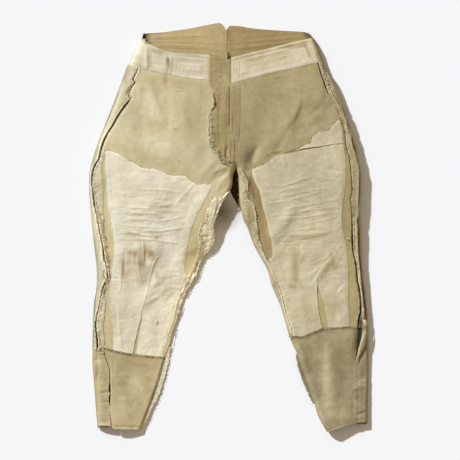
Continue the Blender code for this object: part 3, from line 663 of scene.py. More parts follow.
# The lacing edge: where the calf front ends, and where the calf back begins
PLACKET = {"l": lengthwise([
    (103.9, 345), (104.2, 351), (109.9, 373), (110.4, 388), (110.5, 396), (110, 403), (111.6, 427.3),
    (111.8, 432),
]), "r": lengthwise([
    (357, 318), (358.4, 326), (358.6, 336), (357.8, 346), (355.6, 356), (353.6, 362), (353, 382),
    (352.4, 424), (352, 436),
])}
PLACKET_BACK = {"l": lengthwise([
    (103.2, 345), (103.6, 351), (109.3, 373), (109.4, 382), (108.5, 387), (108.6, 391), (109.8, 393.6),
    (108.6, 396.6), (108.6, 400), (109.4, 404), (110.4, 407), (110.8, 427), (111.2, 432),
]), "r": lengthwise([
    (362, 318), (363, 330), (362.6, 338), (361, 346), (358, 354), (353.8, 361.6), (352.4, 366),
    (351.8, 424), (351.4, 436),
])}
LINING_TOP = {"l": crosswise([
    (102, 150.4), (105.5, 150.6), (112, 151.2), (119.5, 154.4), (128, 159.4), (136, 163.8), (145, 168),
    (155, 168.5), (167, 173.5), (176, 176), (186, 175.6), (190, 180), (199, 184), (211.2, 184.9),
    (214, 185),
]), "r": crosswise([
    (248, 170.4), (251.6, 169), (259.3, 166), (265.6, 160.6), (270, 156), (282, 153.4), (296, 149.6),
    (310, 147.2), (321, 146), (330, 144.2), (343, 142.8), (348, 142.4),
])}
LINING_OUT = {"l": lengthwise([
    (105.6, 148), (106.1, 153.8), (104.9, 166.5), (106.5, 180), (107.6, 201), (110.2, 218.6),
    (113, 234.7), (114.4, 246.7), (113.7, 257), (111.6, 267.7), (110.4, 280), (110.2, 301.6),
    (111.6, 319), (113.7, 328), (113.3, 347), (113.3, 356),
]), "r": lengthwise([
    (341.3, 118), (341.9, 128), (343.8, 142), (344.4, 154), (345.1, 173), (344.4, 190), (343, 199),
    (341.4, 218), (343.6, 236), (346.8, 250), (348, 280), (348.1, 306), (349.3, 323), (349.5, 332),
])}
LINING_IN = {"l": lengthwise([
    (211.6, 183), (210.8, 186), (207.4, 195.7), (202.3, 206), (196.6, 216), (191.5, 229),
    (188.9, 239.7), (187, 249), (185.5, 259), (184.4, 268), (184.6, 274), (188, 276.6), (186, 281.5),
    (182, 291), (178, 298), (174, 316), (170.3, 327), (165.8, 344), (161.6, 358),
]), "r": lengthwise([
    (251.2, 166), (251.6, 168.2), (253.7, 180), (259.3, 190.7), (262, 203), (265.6, 216.7),
    (269, 230.7), (271.9, 244.7), (272.6, 254), (271.4, 258), (266.6, 260.6), (271, 271), (277, 281),
    (281.4, 293.5), (285.8, 313), (290.4, 328), (293.5, 338),
])}
FRAY_LINE = {"l": lengthwise([
    (214.6, 188), (211.2, 197), (207.4, 208.5), (206.1, 219), (201, 225), (199.1, 235), (199.1, 246),
    (197.2, 256), (193.6, 266), (188.6, 277), (186.2, 283), (182, 291), (178, 298), (174, 316),
    (170, 330),
]), "r": lengthwise([
    (239, 166), (243.2, 172), (248.1, 184), (247.4, 198), (253.7, 205), (256.5, 220), (257.9, 234),
    (262.1, 248), (264.9, 255), (270, 266), (276, 279), (281.4, 293.5), (285.8, 313), (291.8, 332),
])}
# The lining's open dart: its outer edge, its inner edge, the step down where it opens, and
# where it lies across the lining
DART_SHARE = {"l": 0.36, "r": 0.44}
DART = {
    "l": (
        lengthwise([(141.8, 300), (141.8, 311.4), (137.4, 331), (133.4, 351), (133, 356)]),
        lengthwise([(142.2, 300), (142.2, 311.4), (140.2, 331), (136.6, 351), (136, 356)]), 311.4),
    "r": (
        lengthwise([
            (317.2, 276), (317.2, 284.3), (320.6, 294), (324.6, 308), (327.4, 326), (327.8, 332)]),
        lengthwise([(316.9, 276), (316.9, 284.3), (317.6, 302.7), (319.9, 318), (322.4, 330)]), 284.3),
}
# Gap between the two sides of the side seam, in millimetres by drawing step down, and the
# shares of it on the front's and on the back's side of the seam line
GAP_SHARE = {"front": 0.75, "back": 0.25}
SEAM_OPEN = {"l": lengthwise_table([
    (60, 1), (72, 2), (84, 3.2), (90, 2.4), (96, 1.2), (100, 3.6), (106, 6.4), (113, 5.4), (126, 4.6),
    (142, 4.4), (152, 4), (165, 4.2), (178, 4.2), (190, 3.4), (204, 3.6), (210, 1.8), (230, 1.4),
    (246, 2.2), (259, 3.4), (264, 1.2), (270, 0.7), (277, 3.2), (289, 3.2), (300, 1.6), (312, 2),
    (326, 4), (345, 4.4), (352, 2),
]), "r": lengthwise_table([
    (58, 0.6), (64, 4), (80, 4.2), (93, 3.8), (97, 0.6), (112, 0.6), (124, 0.8), (140, 1), (160, 1),
    (175, 1.3), (196, 1.4), (212, 1), (220, 2.2), (232, 4.2), (244, 4.8), (252, 3.2), (265, 4.2),
    (280, 4), (296, 4.4), (316, 5), (330, 4),
])}


def way(side):
    """Direction from the outer silhouette to the inside of the leg."""
    return 1.0 if side == "l" else -1.0


def seam_edge(side, layer, far=0.0):
    """A line so far in from the edge of the front or the back at the side seam's gap."""
    w = way(side) * (1 if layer == "front" else -1)
    return lambda t: SEAM[side](t) + w * (GAP_SHARE[layer] * SEAM_OPEN[side](t) + far)


def tones(x, y, worn=(), fresh=(), soiled=(), dark=(), plus=None):
    """The tones of a piece at its points, from strokes. The dark tone is painted shade, and painted
    light where it is below zero.

    The left leg's inner slope turns from the light and is kept paler, as in the photograph.
    """
    made = {"worn": strokes(worn, x, y), "fresh": strokes(fresh, x, y),
            "soiled": strokes(soiled, x, y), "dark": strokes(dark, x, y), "wrinkled": 0.0}
    for name, values in (plus or {}).items():
        made[name] = made[name] + values
    inner = np.abs(x - INNER["l"](y))
    slope = step_between(-y, 0, 60) * (1 - step_between(inner, 20, 90)) * (x < CROTCH_X)
    made["dark"] = made["dark"] - 0.34 * slope * (1 - np.clip(made["dark"] * 4, 0, 1))
    return made


def add(name, x, y, z, thickness, finish, shades, turned, node, keep=None):
    """A shell that stands for one solid, whose part it hides."""
    points = np.stack([x, y, z], axis=-1)
    piece = shell(name, points, thickness, finish, keep, shades, turned)
    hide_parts(node)


def top_face(side, x, y, layer=0.0):
    """Height of the outer face of a cloth that lies some layers up."""
    return upper(side, x, y) + layer


# Layers over the drill panel
ON_PANEL = LIFT + COTTON_CLOTH
ON_LINING = ON_PANEL + LIFT + DRILL_CLOTH
FRONT_FRESH = {"l": (
    (108, 172, 111, 232, 4, 1), (111, 230, 108, 348, 3.6, 1), (205, 198, 194, 236, 5, 1.1),
    (194, 232, 188, 276, 5, 1.1), (141, 314, 135, 354, 3, 1.2),
), "r": (
    (348, 146, 347, 232, 4, 1), (350, 230, 354, 326, 4.6, 0.9), (252, 178, 262, 214, 4, 1.3),
    (262, 210, 270, 256, 4, 1.3), (318, 288, 325, 326, 4, 1.2),
)}
# Painted shade on the fronts, in folds, gaps and hollows and along seams, with dark lines at stitches;
# rows of negative strength paint light
FRONT_DARK = {"l": (
    (173.6, 129.6, 178, 130, 0.35, 0.6), (140.4, 320, 135, 354, 2, 0.2), (150, 80, 200, 88, 9, 0.05),
    (196, 150, 216, 176, 9, 0.1), (150, 132, 196, 154, 10, -0.1), (112, 156, 118, 160, 2, 0.1),
    (176, 88, 184, 88.4, 0.5, 0.25), (176, 91.4, 184, 91.2, 0.5, 0.25), (167, 73, 167, 84, 2, 0.14),
), "r": (
    (238, 150, 256, 156, 6, 0.1), (240, 161, 253, 151, 5, 0.2), (255.8, 146, 251.6, 155, 0.9, 0.4),
    (251.6, 155, 250.8, 168, 0.9, 0.35), (244, 163, 250, 160, 3.6, 0.22),
    (235.6, 131, 237, 152, 1.3, 0.3), (303, 106, 296.4, 118, 0.9, 0.28),
    (296.4, 118, 290.6, 132, 0.9, 0.28), (326.4, 96, 322, 104, 2, 0.2), (322, 104, 309, 114, 2.2, 0.18),
    (319, 116, 306, 127, 2.2, 0.12), (249.4, 176, 251, 186, 1.5, 0.45),
    (251, 186, 254.4, 200, 1.4, 0.4), (254.4, 177, 259.4, 190, 0.8, 0.3),
    (259.4, 190, 262.2, 203, 0.8, 0.3), (262.2, 203, 268.2, 228, 0.8, 0.2),
    (299, 113, 296, 120, 1.6, 0.16), (326, 88, 324, 100, 3, 0.12), (319, 64, 328, 92, 1.6, 0.35),
    (273, 71, 280, 70, 0.5, 0.2), (242, 168, 250, 169, 2, 0.3), (266, 159.4, 267, 156.4, 0.5, 0.6),
    (267, 156.4, 271.7, 153.6, 0.5, 0.7), (271.7, 153.6, 281.7, 151.4, 0.5, 0.6),
    (252, 167, 264, 160, 1.6, 0.2), (361, 314, 358.6, 338, 2, 1), (326, 92, 312, 108, 4, 0.14),
    (233, 90, 233, 112, 0.5, 0.2), (239.4, 88, 239.4, 128, 0.5, 0.25), (249, 166, 262, 212, 6, 0.16),
)}
FRONT_WORN = {"l": (
    (126, 104, 112, 140, 4, 0.5), (150, 140, 186, 160, 8, 0.3), (146, 92, 158, 118, 8, 0.7),
    (136, 138, 172, 150, 10, 0.5), (134, 76, 126, 96, 4, 0.4), (127, 118, 132, 148, 6, 0.4),
), "r": (
    (333, 104, 340, 118, 3, 0.5), (260, 147, 254.8, 162, 2, 0.7), (300, 96, 320, 120, 6, 0.15),
    (298, 138, 336, 118, 4, 0.7), (300, 120, 332, 112, 5, 0.5), (262, 140, 286, 132, 6, 0.3),
)}
FRONT_SOILED = {"l": (
    (205, 200, 190, 262, 1.2, 0.12), (182, 92, 192, 150, 11, 0.18), (208.8, 197, 207.8, 209, 0.8, 0.3),
    (150, 78, 158, 96, 5, 0.22), (163, 76, 166, 90, 2, 0.25), (196, 84, 206, 100, 6, 0.3),
    (196, 130, 206, 156, 6, 0.26), (194, 96, 190, 134, 7, 0.3), (150, 79, 200, 86, 4, 0.25),
    (152, 88, 164, 116, 1.6, 0.16), (182, 106, 192, 130, 1.8, 0.16),
), "r": (
    (246, 100, 262, 140, 9, 0.22), (246, 150, 250, 166, 3, 0.5), (249, 176, 262, 214, 4.5, 1.1),
    (258, 208, 268, 256, 4, 0.9), (341, 170, 342, 226, 1.6, 0.2), (268, 80, 300, 76, 6, 0.14),
)}


def make_fronts(finishes):
    """The fronts, from the side seam to the centre front and the leg's inner edge."""
    for side in "lr":
        w = way(side)
        x, y, _, _ = patch(
            seam_edge(side, "front"),
            lambda t: centre_front(side, t) - w * np.where(t > CROTCH_Y, 0.3, 3.2),
            WAIST_FRONT[side], CALF_SEAM[side], 3.5)
        shades = tones(x, y, FRONT_WORN[side], FRONT_FRESH[side], FRONT_SOILED[side],
                       FRONT_DARK[side])
        add("front_drill_" + side, x, y, top_face(side, x, y), DRILL_CLOTH,
            finishes["front_" + side], shades, side == "r", "front_" + side)


BACK_TOP = crosswise([
    (143.3, 33.2), (158.6, 32.2), (175.8, 30), (189, 28.1), (205, 24.9), (214.7, 23), (219.2, 22.3),
    (223, 24.6), (226.2, 29.4), (228, 27.2), (230, 25.2), (238, 25.5), (249.5, 27.5), (269, 29.4),
    (290, 30.6), (304, 31.5), (309, 33.2), (312, 36)])
# Painted shade on the backs at the waist: the slits, the hollow at the left corner, and lines along
# creases and stitches; the negative row paints light
BACK_DARK = (
    (224.4, 30, 224.8, 50, 0.5, 0.6), (228.2, 27, 228, 40, 0.6, 0.6), (228, 41, 234, 39, 0.6, 0.3),
    (152, 41.4, 222, 45.6, 0.5, 0.14), (150, 46, 224, 50, 0.5, 0.22), (232, 50, 306, 40, 0.6, 0.22),
    (212, 28, 216, 48, 1.6, 0.12), (219, 25, 222, 34, 1, 0.2), (230, 30, 232, 46, 2, 0.14),
    (143.6, 34, 144.8, 39.6, 1.3, 0.62), (144.8, 39.6, 148, 42.2, 1.1, 0.66),
    (148, 42.2, 151.6, 44.2, 0.9, 0.8), (206, 51, 226, 52, 0.5, 0.2), (206, 54.6, 226, 55, 0.5, 0.2),
    (143.4, 33.6, 160, 32.8, 0.7, 0.35), (306, 32, 313, 38, 1.2, 0.3), (236, 31, 302, 33, 3, 0.12),
    (240, 46, 300, 40, 3, -0.07))
BACK_CREASES = (
    (150, 37, 205, 35, 1.6, 0.9), (160, 44, 212, 46.4, 1.3, 0.8), (214, 27, 218, 44, 1.2, 1),
    (236, 36, 290, 34, 2, 0.8), (240, 42, 300, 36.6, 1.4, 1), (225.8, 32, 226, 48, 0.7, 1),
    (150, 40.8, 220, 43.4, 0.6, 0.6), (234, 48, 300, 40.4, 0.7, 0.7))
# Creases, worn and soiled lines of the back where it wraps over the outer edge
WRAP_CREASES = {"l": (
    (119.6, 92, 112.4, 110, 0.9, -2.2), (112.4, 110, 104.6, 128, 0.9, -2), (121, 80, 116, 96, 1.4, -1),
    (99.6, 236, 96.6, 262, 1, 0.6), (96.8, 262, 96.2, 330, 1, -1),
), "r": (
    (325, 66, 328, 78, 1.4, -1.6), (331, 72, 337, 92, 1.2, 0.9), (337, 98, 340.4, 107, 0.8, -1.6),
    (346.6, 125, 356.6, 156, 0.7, -2.6), (359.8, 172, 359.2, 200, 0.7, -2.8),
    (358.4, 226, 358.6, 253, 0.7, -2.6), (358.6, 253, 361.6, 278, 0.7, -2.4),
    (361.6, 278, 365.6, 317, 0.8, -2.8),
)}
WRAP_WORN = {"l": (
    (141.6, 37, 143.6, 42.6, 1.3, 1.4), (141, 46, 128, 64, 3, 0.7), (128, 64, 104, 118, 4.5, 0.5),
    (104, 118, 90, 165, 4.5, 0.7), (90, 165, 90, 226, 4, 0.8), (91, 226, 96, 290, 4, 0.7),
    (96, 290, 92, 350, 4, 0.7), (118, 86, 98, 132, 3, 0.9), (98, 132, 91, 156, 3, 0.9),
), "r": (
    (350, 128, 356, 146, 1.5, 0.9), (359.6, 205, 358.6, 218, 1, 0.7), (262, 262, 284, 312, 5, 1.2),
    (284, 312, 294, 340, 5, 1.2), (321, 62, 344, 104, 4, 0.8),
)}
WRAP_SOILED = {
    "l": ((119.6, 92, 112.4, 110, 0.8, 0.2), (130, 68, 128, 90, 3, 0.1)),
    "r": ((313, 44, 319, 60, 2, 0.2),),
}
# Painted shade of the back where it wraps over the outer edge, in its creases and seam gaps; rows of
# negative strength paint light
WRAP_DARK = {"l": (
    (119.6, 92, 112.4, 110, 0.6, 0.4), (112.4, 110, 104.6, 128, 0.6, 0.4),
    (104.6, 128, 98, 150, 0.5, 0.2), (94.6, 236, 96.6, 262, 0.8, 0.15), (95, 292, 93.6, 346, 0.9, 0.25),
    (131, 63, 124.4, 84, 3.4, 0.3), (112, 102, 106, 120, 2.6, 0.16), (98, 148, 93, 168, 2, 0.3),
), "r": (
    (315, 42, 318.8, 51, 0.7, 0.75), (318.8, 51, 323, 64, 1.2, 0.25), (326, 66, 334, 88, 2.4, 0.3),
    (335.6, 93, 340, 107, 0.9, 0.3), (346.6, 125, 356.6, 156, 0.5, 0.4),
    (359.8, 172, 359.2, 200, 0.6, 0.75), (325, 64, 326, 80, 2.5, 0.12), (356, 188, 356, 242, 2, 0.12),
    (337, 86, 342, 108, 3, -0.15), (350, 126, 356, 146, 2, -0.12), (358.4, 226, 358.6, 253, 0.6, 0.8),
    (358.6, 253, 361.6, 278, 0.7, 0.8), (361.6, 278, 365.6, 317, 0.9, 0.9),
    (360.6, 312, 360, 338, 2.2, 0.9),
)}
# How far inside the leg's inner edge the under layer starts to rise, in millimetres by step
# down; below zero it hangs out of the leg, as in the fork
FORK = {"l": lengthwise_table([
    (160, 12.9), (440, 12.9),
]), "r": lengthwise_table([
    (160, 12.9), (167, 4), (172, -12), (180, -18), (190, -21), (196, -17), (203, -8), (208, -2),
    (214, 6), (222, 12.9), (440, 12.9),
])}
# The edge tucked in under the front: share of the way in, and how far it is sunk
TUCK = ((1.0, 4.6), (0.6, 4.4), (0.25, 3.6), (0.04, 1.2))
TUCK_DEPTH = 4.0
# Painted shade on the tucked edge, down in the seam's gap
TUCK_DARK = 0.85
# How far the back goes in over the leg's inner edge
INNER_LAP = 2.8
# The height up the garment at which the roll and the tucked edge end below the waist
ROLL_TOP = 452
TUCK_TOP = 396
# Painted shade along the outer rim of each leg's back
RIM_DARK = {"l": 0.46, "r": 0.0}
# From where to where down the garment the cloth that hangs in the fork gets painted shade
HUNG_STARTS = (-140, -128)


def wrap(side, seam, gap, top, bottom, rows, across, creased):
    """Points of a back: over the outer edge, under, and up the inner edge of the leg.

    At the seam it tucks in under the front, across the gap. Gives x, y and z, how many
    columns lie on top and how many come before the inner rise.
    """
    w = way(side)
    radius = RADIUS[side][0]
    tucked, sunk = np.array(TUCK).T
    flat = np.linspace(1, 0, 10)[:-1]
    bend = 1 - np.cos(np.linspace(0, math.pi / 2, 12)[::-1])
    drop = 1 - np.cos(np.linspace(0, math.pi / 2, 8)[1:])
    floor = np.sin(np.linspace(0, math.pi / 2, across))[1:]
    climb = 1 - np.cos(np.linspace(math.pi / 2, 0, 9)[1:])
    over = np.linspace(0, INNER_LAP, 8)[1:]
    ends = np.cumsum([tucked.size, flat.size, bend.size, drop.size, floor.size, climb.size,
                      over.size])
    share = np.linspace(0, 1, rows)[:, None] ** (1.35 if rows > 200 else 1.0)

    def lines(y):
        zero, one, two, three, four, five, six = np.split(y, ends[:-1], axis=1)
        reach_one = np.abs(seam(one) - OUTER[side](one))
        reach_two = np.abs(seam(two) - OUTER[side](two))
        leg = INNER[side](four) - w * FORK[side](four)
        inside = np.where(four < CROTCH_Y, leg, CENTRE_BACK(four) - w * 0.3)
        start = OUTER[side](four) + w * UNDER_RADIUS
        rise = INNER[side](five) - w * FORK[side](five) * climb
        return np.concatenate([
            seam(zero) + w * tucked * (gap(zero) + TUCK_DEPTH),
            OUTER[side](one) + w * (np.minimum(reach_one, radius)
                                    + flat * np.maximum(reach_one - radius, 0)),
            OUTER[side](two) + w * np.minimum(bend * radius, reach_two),
            OUTER[side](three) + w * UNDER_RADIUS * drop,
            start + (inside - start) * floor,
            np.where(five < CROTCH_Y, rise, CENTRE_BACK(five) - w * 0.3),
            np.where(six < CROTCH_Y, INNER[side](six) - w * over, CENTRE_BACK(six) - w * 0.3),
        ], axis=1)

    middle = float(OUTER[side](0.0)) + w * 60
    y = float(top(middle)) + (float(bottom(middle)) - float(top(middle))) * share
    y = y * np.ones((1, ends[-1]))
    for _ in range(ROUNDS):
        x = lines(y)
        y = top(x) + (bottom(x) - top(x)) * share
    on_top, low = ends[2], ends[5]
    z = under(side, x, y) - DRILL / 2
    z[:, :on_top] = top_face(side, x[:, :on_top], y[:, :on_top])
    z[:, :on_top] += strokes(creased, x[:, :on_top], y[:, :on_top])
    z[:, :tucked.size] -= sunk
    z[:, low:] = top_face(side, x[:, low:], y[:, low:])
    z[:, on_top:low] += back_relief(x[:, on_top:low], y[:, on_top:low])
    return x, y, z, on_top, ends[4]


def back_relief(x, y):
    """Height of the creases in the face of the backs that shows at the waist."""
    return np.maximum(strokes(BACK_CREASES, x, y), 0)


def make_backs(finishes):
    """The backs: over the outer edge, across the underside and up the inner edge."""
    for side in "lr":
        x, y, z, on_top, before = wrap(
            side, seam_edge(side, "back"), SEAM_OPEN[side], BACK_TOP, CALF_SEAM[side], 260, 28,
            WRAP_CREASES[side])
        keep = np.ones((x.shape[0] - 1, x.shape[1] - 1), dtype=bool)
        keep[:, :on_top - 1] = y[1:, :on_top - 1] < ROLL_TOP
        keep[:, :len(TUCK)] = y[1:, :len(TUCK)] < TUCK_TOP
        keep[:, before:] = y[:-1, before:-1] <= CROTCH_Y
        from_outer = np.abs(x - OUTER[side](y))
        bleached = np.zeros(x.shape)
        bleached[:, :on_top] = 1.0 if side == "l" else 0.0
        # painted shade along the left leg's outer rim; the band over the left edge is a little darker,
        # more so towards the bottom
        dark = np.exp(-(from_outer / 4.2) ** 2) * RIM_DARK[side]
        dark = dark + (0.08 + 0.12 * step_between(-y, -20, 60)) * bleached
        # painted shade on the underside: its rim, what hangs in the fork, and the inner edge on the
        # right
        dark[:, on_top:before] = 0.5 * (from_outer < 14)[:, on_top:before]
        if side == "r":
            dark[:, before:] += 0.55 * step_between(-y, -30, 10)[:, before:]
        hung = way(side) * (x - INNER[side](y)) > 0.5
        dark[:, on_top:] += (hung * step_between(-y, *HUNG_STARTS))[:, on_top:]
        # painted shade on the edge tucked into the seam's gap
        dark[:, :len(TUCK) - 1] += TUCK_DARK
        shades = tones(x, y, WRAP_WORN[side], (), WRAP_SOILED[side],
                       BACK_DARK + WRAP_DARK[side],
                       {"dark": dark, "worn": bleached,
                        "wrinkled": 0.3 * step_between(y, TUCK_TOP, TUCK_TOP + 24)})
        add("back_drill_" + side, x, y, z, DRILL_CLOTH, finishes["back_" + side], shades,
            side == "l", "back_" + side, keep)


LINING_CREASES = {"l": (
    (138, 190, 164, 189.6, 1.1, 0.9), (160, 189.6, 184, 193, 0.9, 0.8), (140, 197, 176, 198, 1.3, 0.4),
    (158, 206, 170, 205, 1.3, 1.3), (128, 207, 152, 209, 1, 0.9), (128, 212.6, 160, 214, 1.3, 1.2),
    (152, 211, 178, 211, 1, 0.9), (127, 219.6, 146, 219, 1.2, 1.3), (144, 219, 160, 221.6, 1, 1.3),
    (158, 221.6, 182, 217.4, 1, 1.2), (127, 226, 165, 227.6, 1.1, 0.8),
    (144, 231, 164, 230.6, 0.7, 1.7), (162, 230.6, 182, 228, 0.8, 1.5), (126, 231, 140, 234, 1, 1.2),
    (138, 234, 158, 236.6, 0.8, 1.3), (136, 238.4, 156, 240, 0.9, 1.3), (154, 240, 178, 243, 0.8, 1.2),
    (118, 238, 136, 240, 0.9, 0.9), (160, 204, 182, 206, 2, 0.8), (143.6, 240, 144.2, 262, 0.7, 1.1),
    (147, 246, 146, 262, 1.6, -1.2), (155, 252, 148, 260, 1.6, -1), (158.4, 256, 153.6, 265, 0.7, 1.3),
    (153.6, 265, 150.4, 276, 0.7, 1.1), (150.4, 276, 147, 292, 0.7, 0.9),
    (147, 292, 141.4, 312, 0.6, 0.8), (154, 268, 150, 288, 2.4, -0.8), (138, 256, 139, 270, 0.8, 1),
    (139, 270, 142, 284, 0.8, 0.8), (122.4, 260, 120.4, 290, 0.7, 1), (125.4, 252, 124, 276, 1.4, -0.9),
    (166, 286, 158, 296, 3.4, 1.2), (158, 296, 147, 303, 2, 1.2), (162, 284, 152, 290, 1.8, -1),
    (181, 288, 168, 287, 1.6, 0.8), (176, 292, 166, 302, 3, -0.8), (182, 270, 166, 270, 1.6, 0.7),
    (178, 276, 164, 280, 1.4, -0.6), (134, 250, 133, 262, 1.2, 0.8), (112, 276, 136, 279, 0.8, 0.8),
    (112, 280, 128, 281, 0.7, 0.6), (118, 308, 121.6, 348, 1.2, 0.6), (116, 322, 117, 348, 1.6, -0.3),
    (140, 318, 150, 330, 3, 0.5), (118, 306, 134, 309, 0.7, 0.7), (160, 180, 166, 200, 4, 0.6),
    (196, 182, 176, 204, 1.4, 0.8), (198, 190, 184, 222, 3, -0.6), (118, 164, 122, 200, 4, 0.4),
), "r": (
    (280, 187.6, 311, 177, 1.2, 0.9), (281, 190.6, 306, 186, 0.9, 0.7), (286, 195, 326, 188.4, 1, 0.8),
    (284, 202, 325, 190.4, 1, 0.8), (288, 208.6, 334, 200, 1.1, 0.9), (290, 213, 336, 207, 0.9, 0.8),
    (292, 218.6, 334, 213, 1, 0.9), (303, 224, 334, 218.6, 1, 0.7), (300, 229.6, 330, 226, 1, 0.7),
    (262, 193, 274, 192, 1, 0.7), (266, 204, 284, 201, 1.2, 0.6), (270, 216, 288, 214, 1.2, 0.5),
    (325, 168.4, 342, 172.6, 0.9, -1), (320, 178, 341, 181, 1.2, 0.6), (282, 156, 286, 168, 1.6, 0.8),
    (268, 158, 274, 168, 1.4, -0.9), (288, 237, 306, 239.4, 1, -1.6), (304, 239.2, 329, 234.6, 1, -1.7),
    (288, 235, 328, 232.4, 1.4, 0.7), (273, 242, 284, 233, 1.2, 0.6), (277, 245, 288, 234, 1.4, -0.7),
    (300, 213, 318, 206, 1, 0.9), (296, 250, 298, 286, 3, -1), (304, 252, 300, 262, 2, 0.8),
    (290, 252, 289, 284, 3, 0.7), (311, 282, 320, 268, 0.9, -1), (318, 270, 334, 252, 1, -1),
    (308, 276, 328, 262, 1.8, 0.7), (334, 268, 343, 250, 1.4, 0.6), (305, 266, 325, 264.6, 1, -0.7),
    (316, 262, 326, 258, 1, 0.7), (338, 294, 343, 286, 0.8, 0.7), (336, 291, 342, 284, 0.8, -0.8),
    (300, 296, 306, 330, 3, 0.6), (338, 304, 341, 322, 2, 0.7), (326, 274, 340, 272, 0.9, 0.5),
    (328, 296, 344, 320, 3, 0.7), (316, 276, 317, 292, 1.2, 1),
)}
LINING_SOILED = {"l": (
    (148, 250, 153, 257, 5, 0.9), (136, 250, 140, 264, 6, 0.55), (125, 251, 138, 254, 3, 0.4),
    (127, 256, 131, 276, 6, 0.45), (122, 256, 123, 280, 3, 0.4), (144, 262, 142, 284, 8, 0.5),
    (156, 273, 158, 278, 3, 0.4), (163, 283, 156, 293, 3, 0.2), (126, 270, 128, 292, 5, 0.3),
    (150, 232, 160, 240, 3.4, 0.35), (124, 300, 124, 344, 6, 0.2), (130, 190, 176, 196, 6, 0.2),
    (150, 207, 172, 206, 4, 0.35), (128, 213, 166, 218, 4, 0.2), (126, 230, 140, 240, 4, 0.2),
    (172, 186, 186, 190, 5, 0.2), (112, 304, 116, 330, 3, 0.3), (190, 192, 182, 204, 4, 0.2),
), "r": (
    (296, 252, 297, 286, 4, 0.5), (288, 286, 296, 288, 2.4, 0.5), (300, 281, 303, 290, 2, 0.35),
    (280, 160, 320, 154, 5, 0.15), (312, 256, 330, 268, 8, 0.3), (300, 300, 316, 326, 8, 0.25),
    (330, 250, 336, 272, 3, 0.5), (298, 252, 302, 262, 3, 0.3), (330, 300, 342, 316, 8, 0.2),
    (270, 262, 284, 250, 4, 0.3), (286, 240, 330, 236, 3, 0.4), (326, 296, 332, 322, 5, 0.25),
    (318, 196, 334, 224, 5, 0.2),
)}
# Painted shade on the linings, along seams, the dart and creases
LINING_DARK = {"l": (
    (157.9, 321, 157.2, 325.6, 0.45, 0.9), (112, 276.6, 122, 279, 0.8, 0.12),
    (143.6, 240, 143.7, 262, 0.4, 0.3), (112, 292, 112, 300, 1, 0.1), (158, 312, 154, 344, 9, 0.05),
), "r": (
    (299, 149.4, 321, 146.2, 0.4, 0.5), (321, 146.2, 343, 143, 0.4, 0.5),
    (288, 238, 306, 239.6, 0.5, 0.25), (305, 239.6, 328, 235.4, 0.5, 0.25),
    (293, 285, 296, 288, 1, 0.15), (264, 192, 274, 230, 5, 0.05), (295, 256, 296, 284, 4, 0.05),
)}
LINING_WORN = {"l": (
    (110, 160, 116, 240, 5, 0.6), (172, 250, 178, 284, 6, 0.4), (120, 250, 116, 300, 3, 0.3),
    (148, 224, 174, 232, 8, 0.6),
), "r": (
    (336, 152, 338, 230, 4, 0.4), (338, 320, 346, 306, 3.4, 0.9), (282, 260, 286, 270, 3, 0.3),
)}
# Where the linings are finely wrinkled
LINING_WRINKLED = {"l": (
    (122, 196, 186, 196, 9, 0.5), (118, 218, 184, 216, 12, 1), (118, 236, 180, 238, 7, 1),
    (116, 280, 176, 284, 9, 0.5), (116, 318, 164, 320, 16, 0.25), (122, 168, 190, 184, 9, 0.2),
), "r": (
    (262, 172, 338, 168, 9, 0.4), (264, 196, 336, 190, 12, 0.8), (270, 222, 336, 216, 12, 0.9),
    (274, 246, 340, 240, 7, 0.7), (286, 270, 342, 268, 14, 0.4), (292, 306, 344, 304, 14, 0.25),
)}


def lining_margin(side, x, y):
    """Way in from the sides and the top of the knee lining."""
    across = np.minimum(np.abs(x - LINING_OUT[side](y)), np.abs(x - LINING_IN[side](y)))
    return np.minimum(across, np.abs(LINING_TOP[side](x) - y))


def lining_height(side, x, y):
    """Outer face of the knee lining, with the creases of its own."""
    rise = strokes(LINING_CREASES[side], x, y)
    rise = rise + 0.3 * noise(x, y * 2.2, 22, 21) + 0.16 * noise(x, y * 1.6, 8, 22)
    rise = rise + 0.35
    loose = np.clip(lining_margin(side, x, y) / 6.0, 0, 1)
    low = top_face(side, x, y, COTTON_CLOTH - PRESSED) + (LIFT + PRESSED) * loose
    return low + np.maximum(rise, -0.1 - 0.5 * loose) * (0.1 + 0.9 * loose)


def make_linings(finishes):
    """The knee linings, each with an open dart at the bottom, and the right one's wedge."""
    for side in "lr":
        dart_out, dart_in, apex = DART[side]
        out = ragged(LINING_OUT[side], 0.5, 31, 9.0)
        inn = ragged(LINING_IN[side], 0.5, 32, 9.0)
        top = ragged(LINING_TOP[side], 0.8, 33, 8.0)
        x, y, u, _ = patch(out, inn, top, shifted(CALF_SEAM[side], 0.6), 2.25)
        column = np.arange(u.size)
        cut = int(u.size * DART_SHARE[side])
        outer_share = column / cut
        inner_share = (column - cut - 1) / (u.size - cut - 2)
        x = np.where(column <= cut, out(y) + (dart_out(y) - out(y)) * outer_share,
                     dart_in(y) + (inn(y) - dart_in(y)) * inner_share)
        keep = np.ones((x.shape[0] - 1, x.shape[1] - 1), dtype=bool)
        keep[y[1:, cut] < place((0, apex))[1], cut] = False
        shades = tones(x, y, LINING_WORN[side], (), LINING_SOILED[side], LINING_DARK[side], {
            "worn": 0.8 * np.exp(-(lining_margin(side, x, y) / 2.6) ** 2),
            "wrinkled": strokes(LINING_WRINKLED[side], x, y)})
        add("knee_lining_cotton_" + side, x, y, lining_height(side, x, y), COTTON_CLOTH,
            finishes["lining_" + side], shades, side == "r", "knee_lining_" + side,
            keep)
    make_wedge(finishes)


WEDGE_TOP = crosswise([
    (294, 150.6), (297, 149.2), (303, 145.4), (310, 141.4), (312, 136.6), (318, 133), (325, 130),
    (331, 125.6), (336.3, 121.3), (341.6, 119)])
WEDGE_SOILED = ((300, 144, 340, 132, 6.0, 0.12),)
# Painted shade along the wedge's lower edge
WEDGE_DARK = ((297, 149.6, 342, 143.8, 0.4, 0.15),)


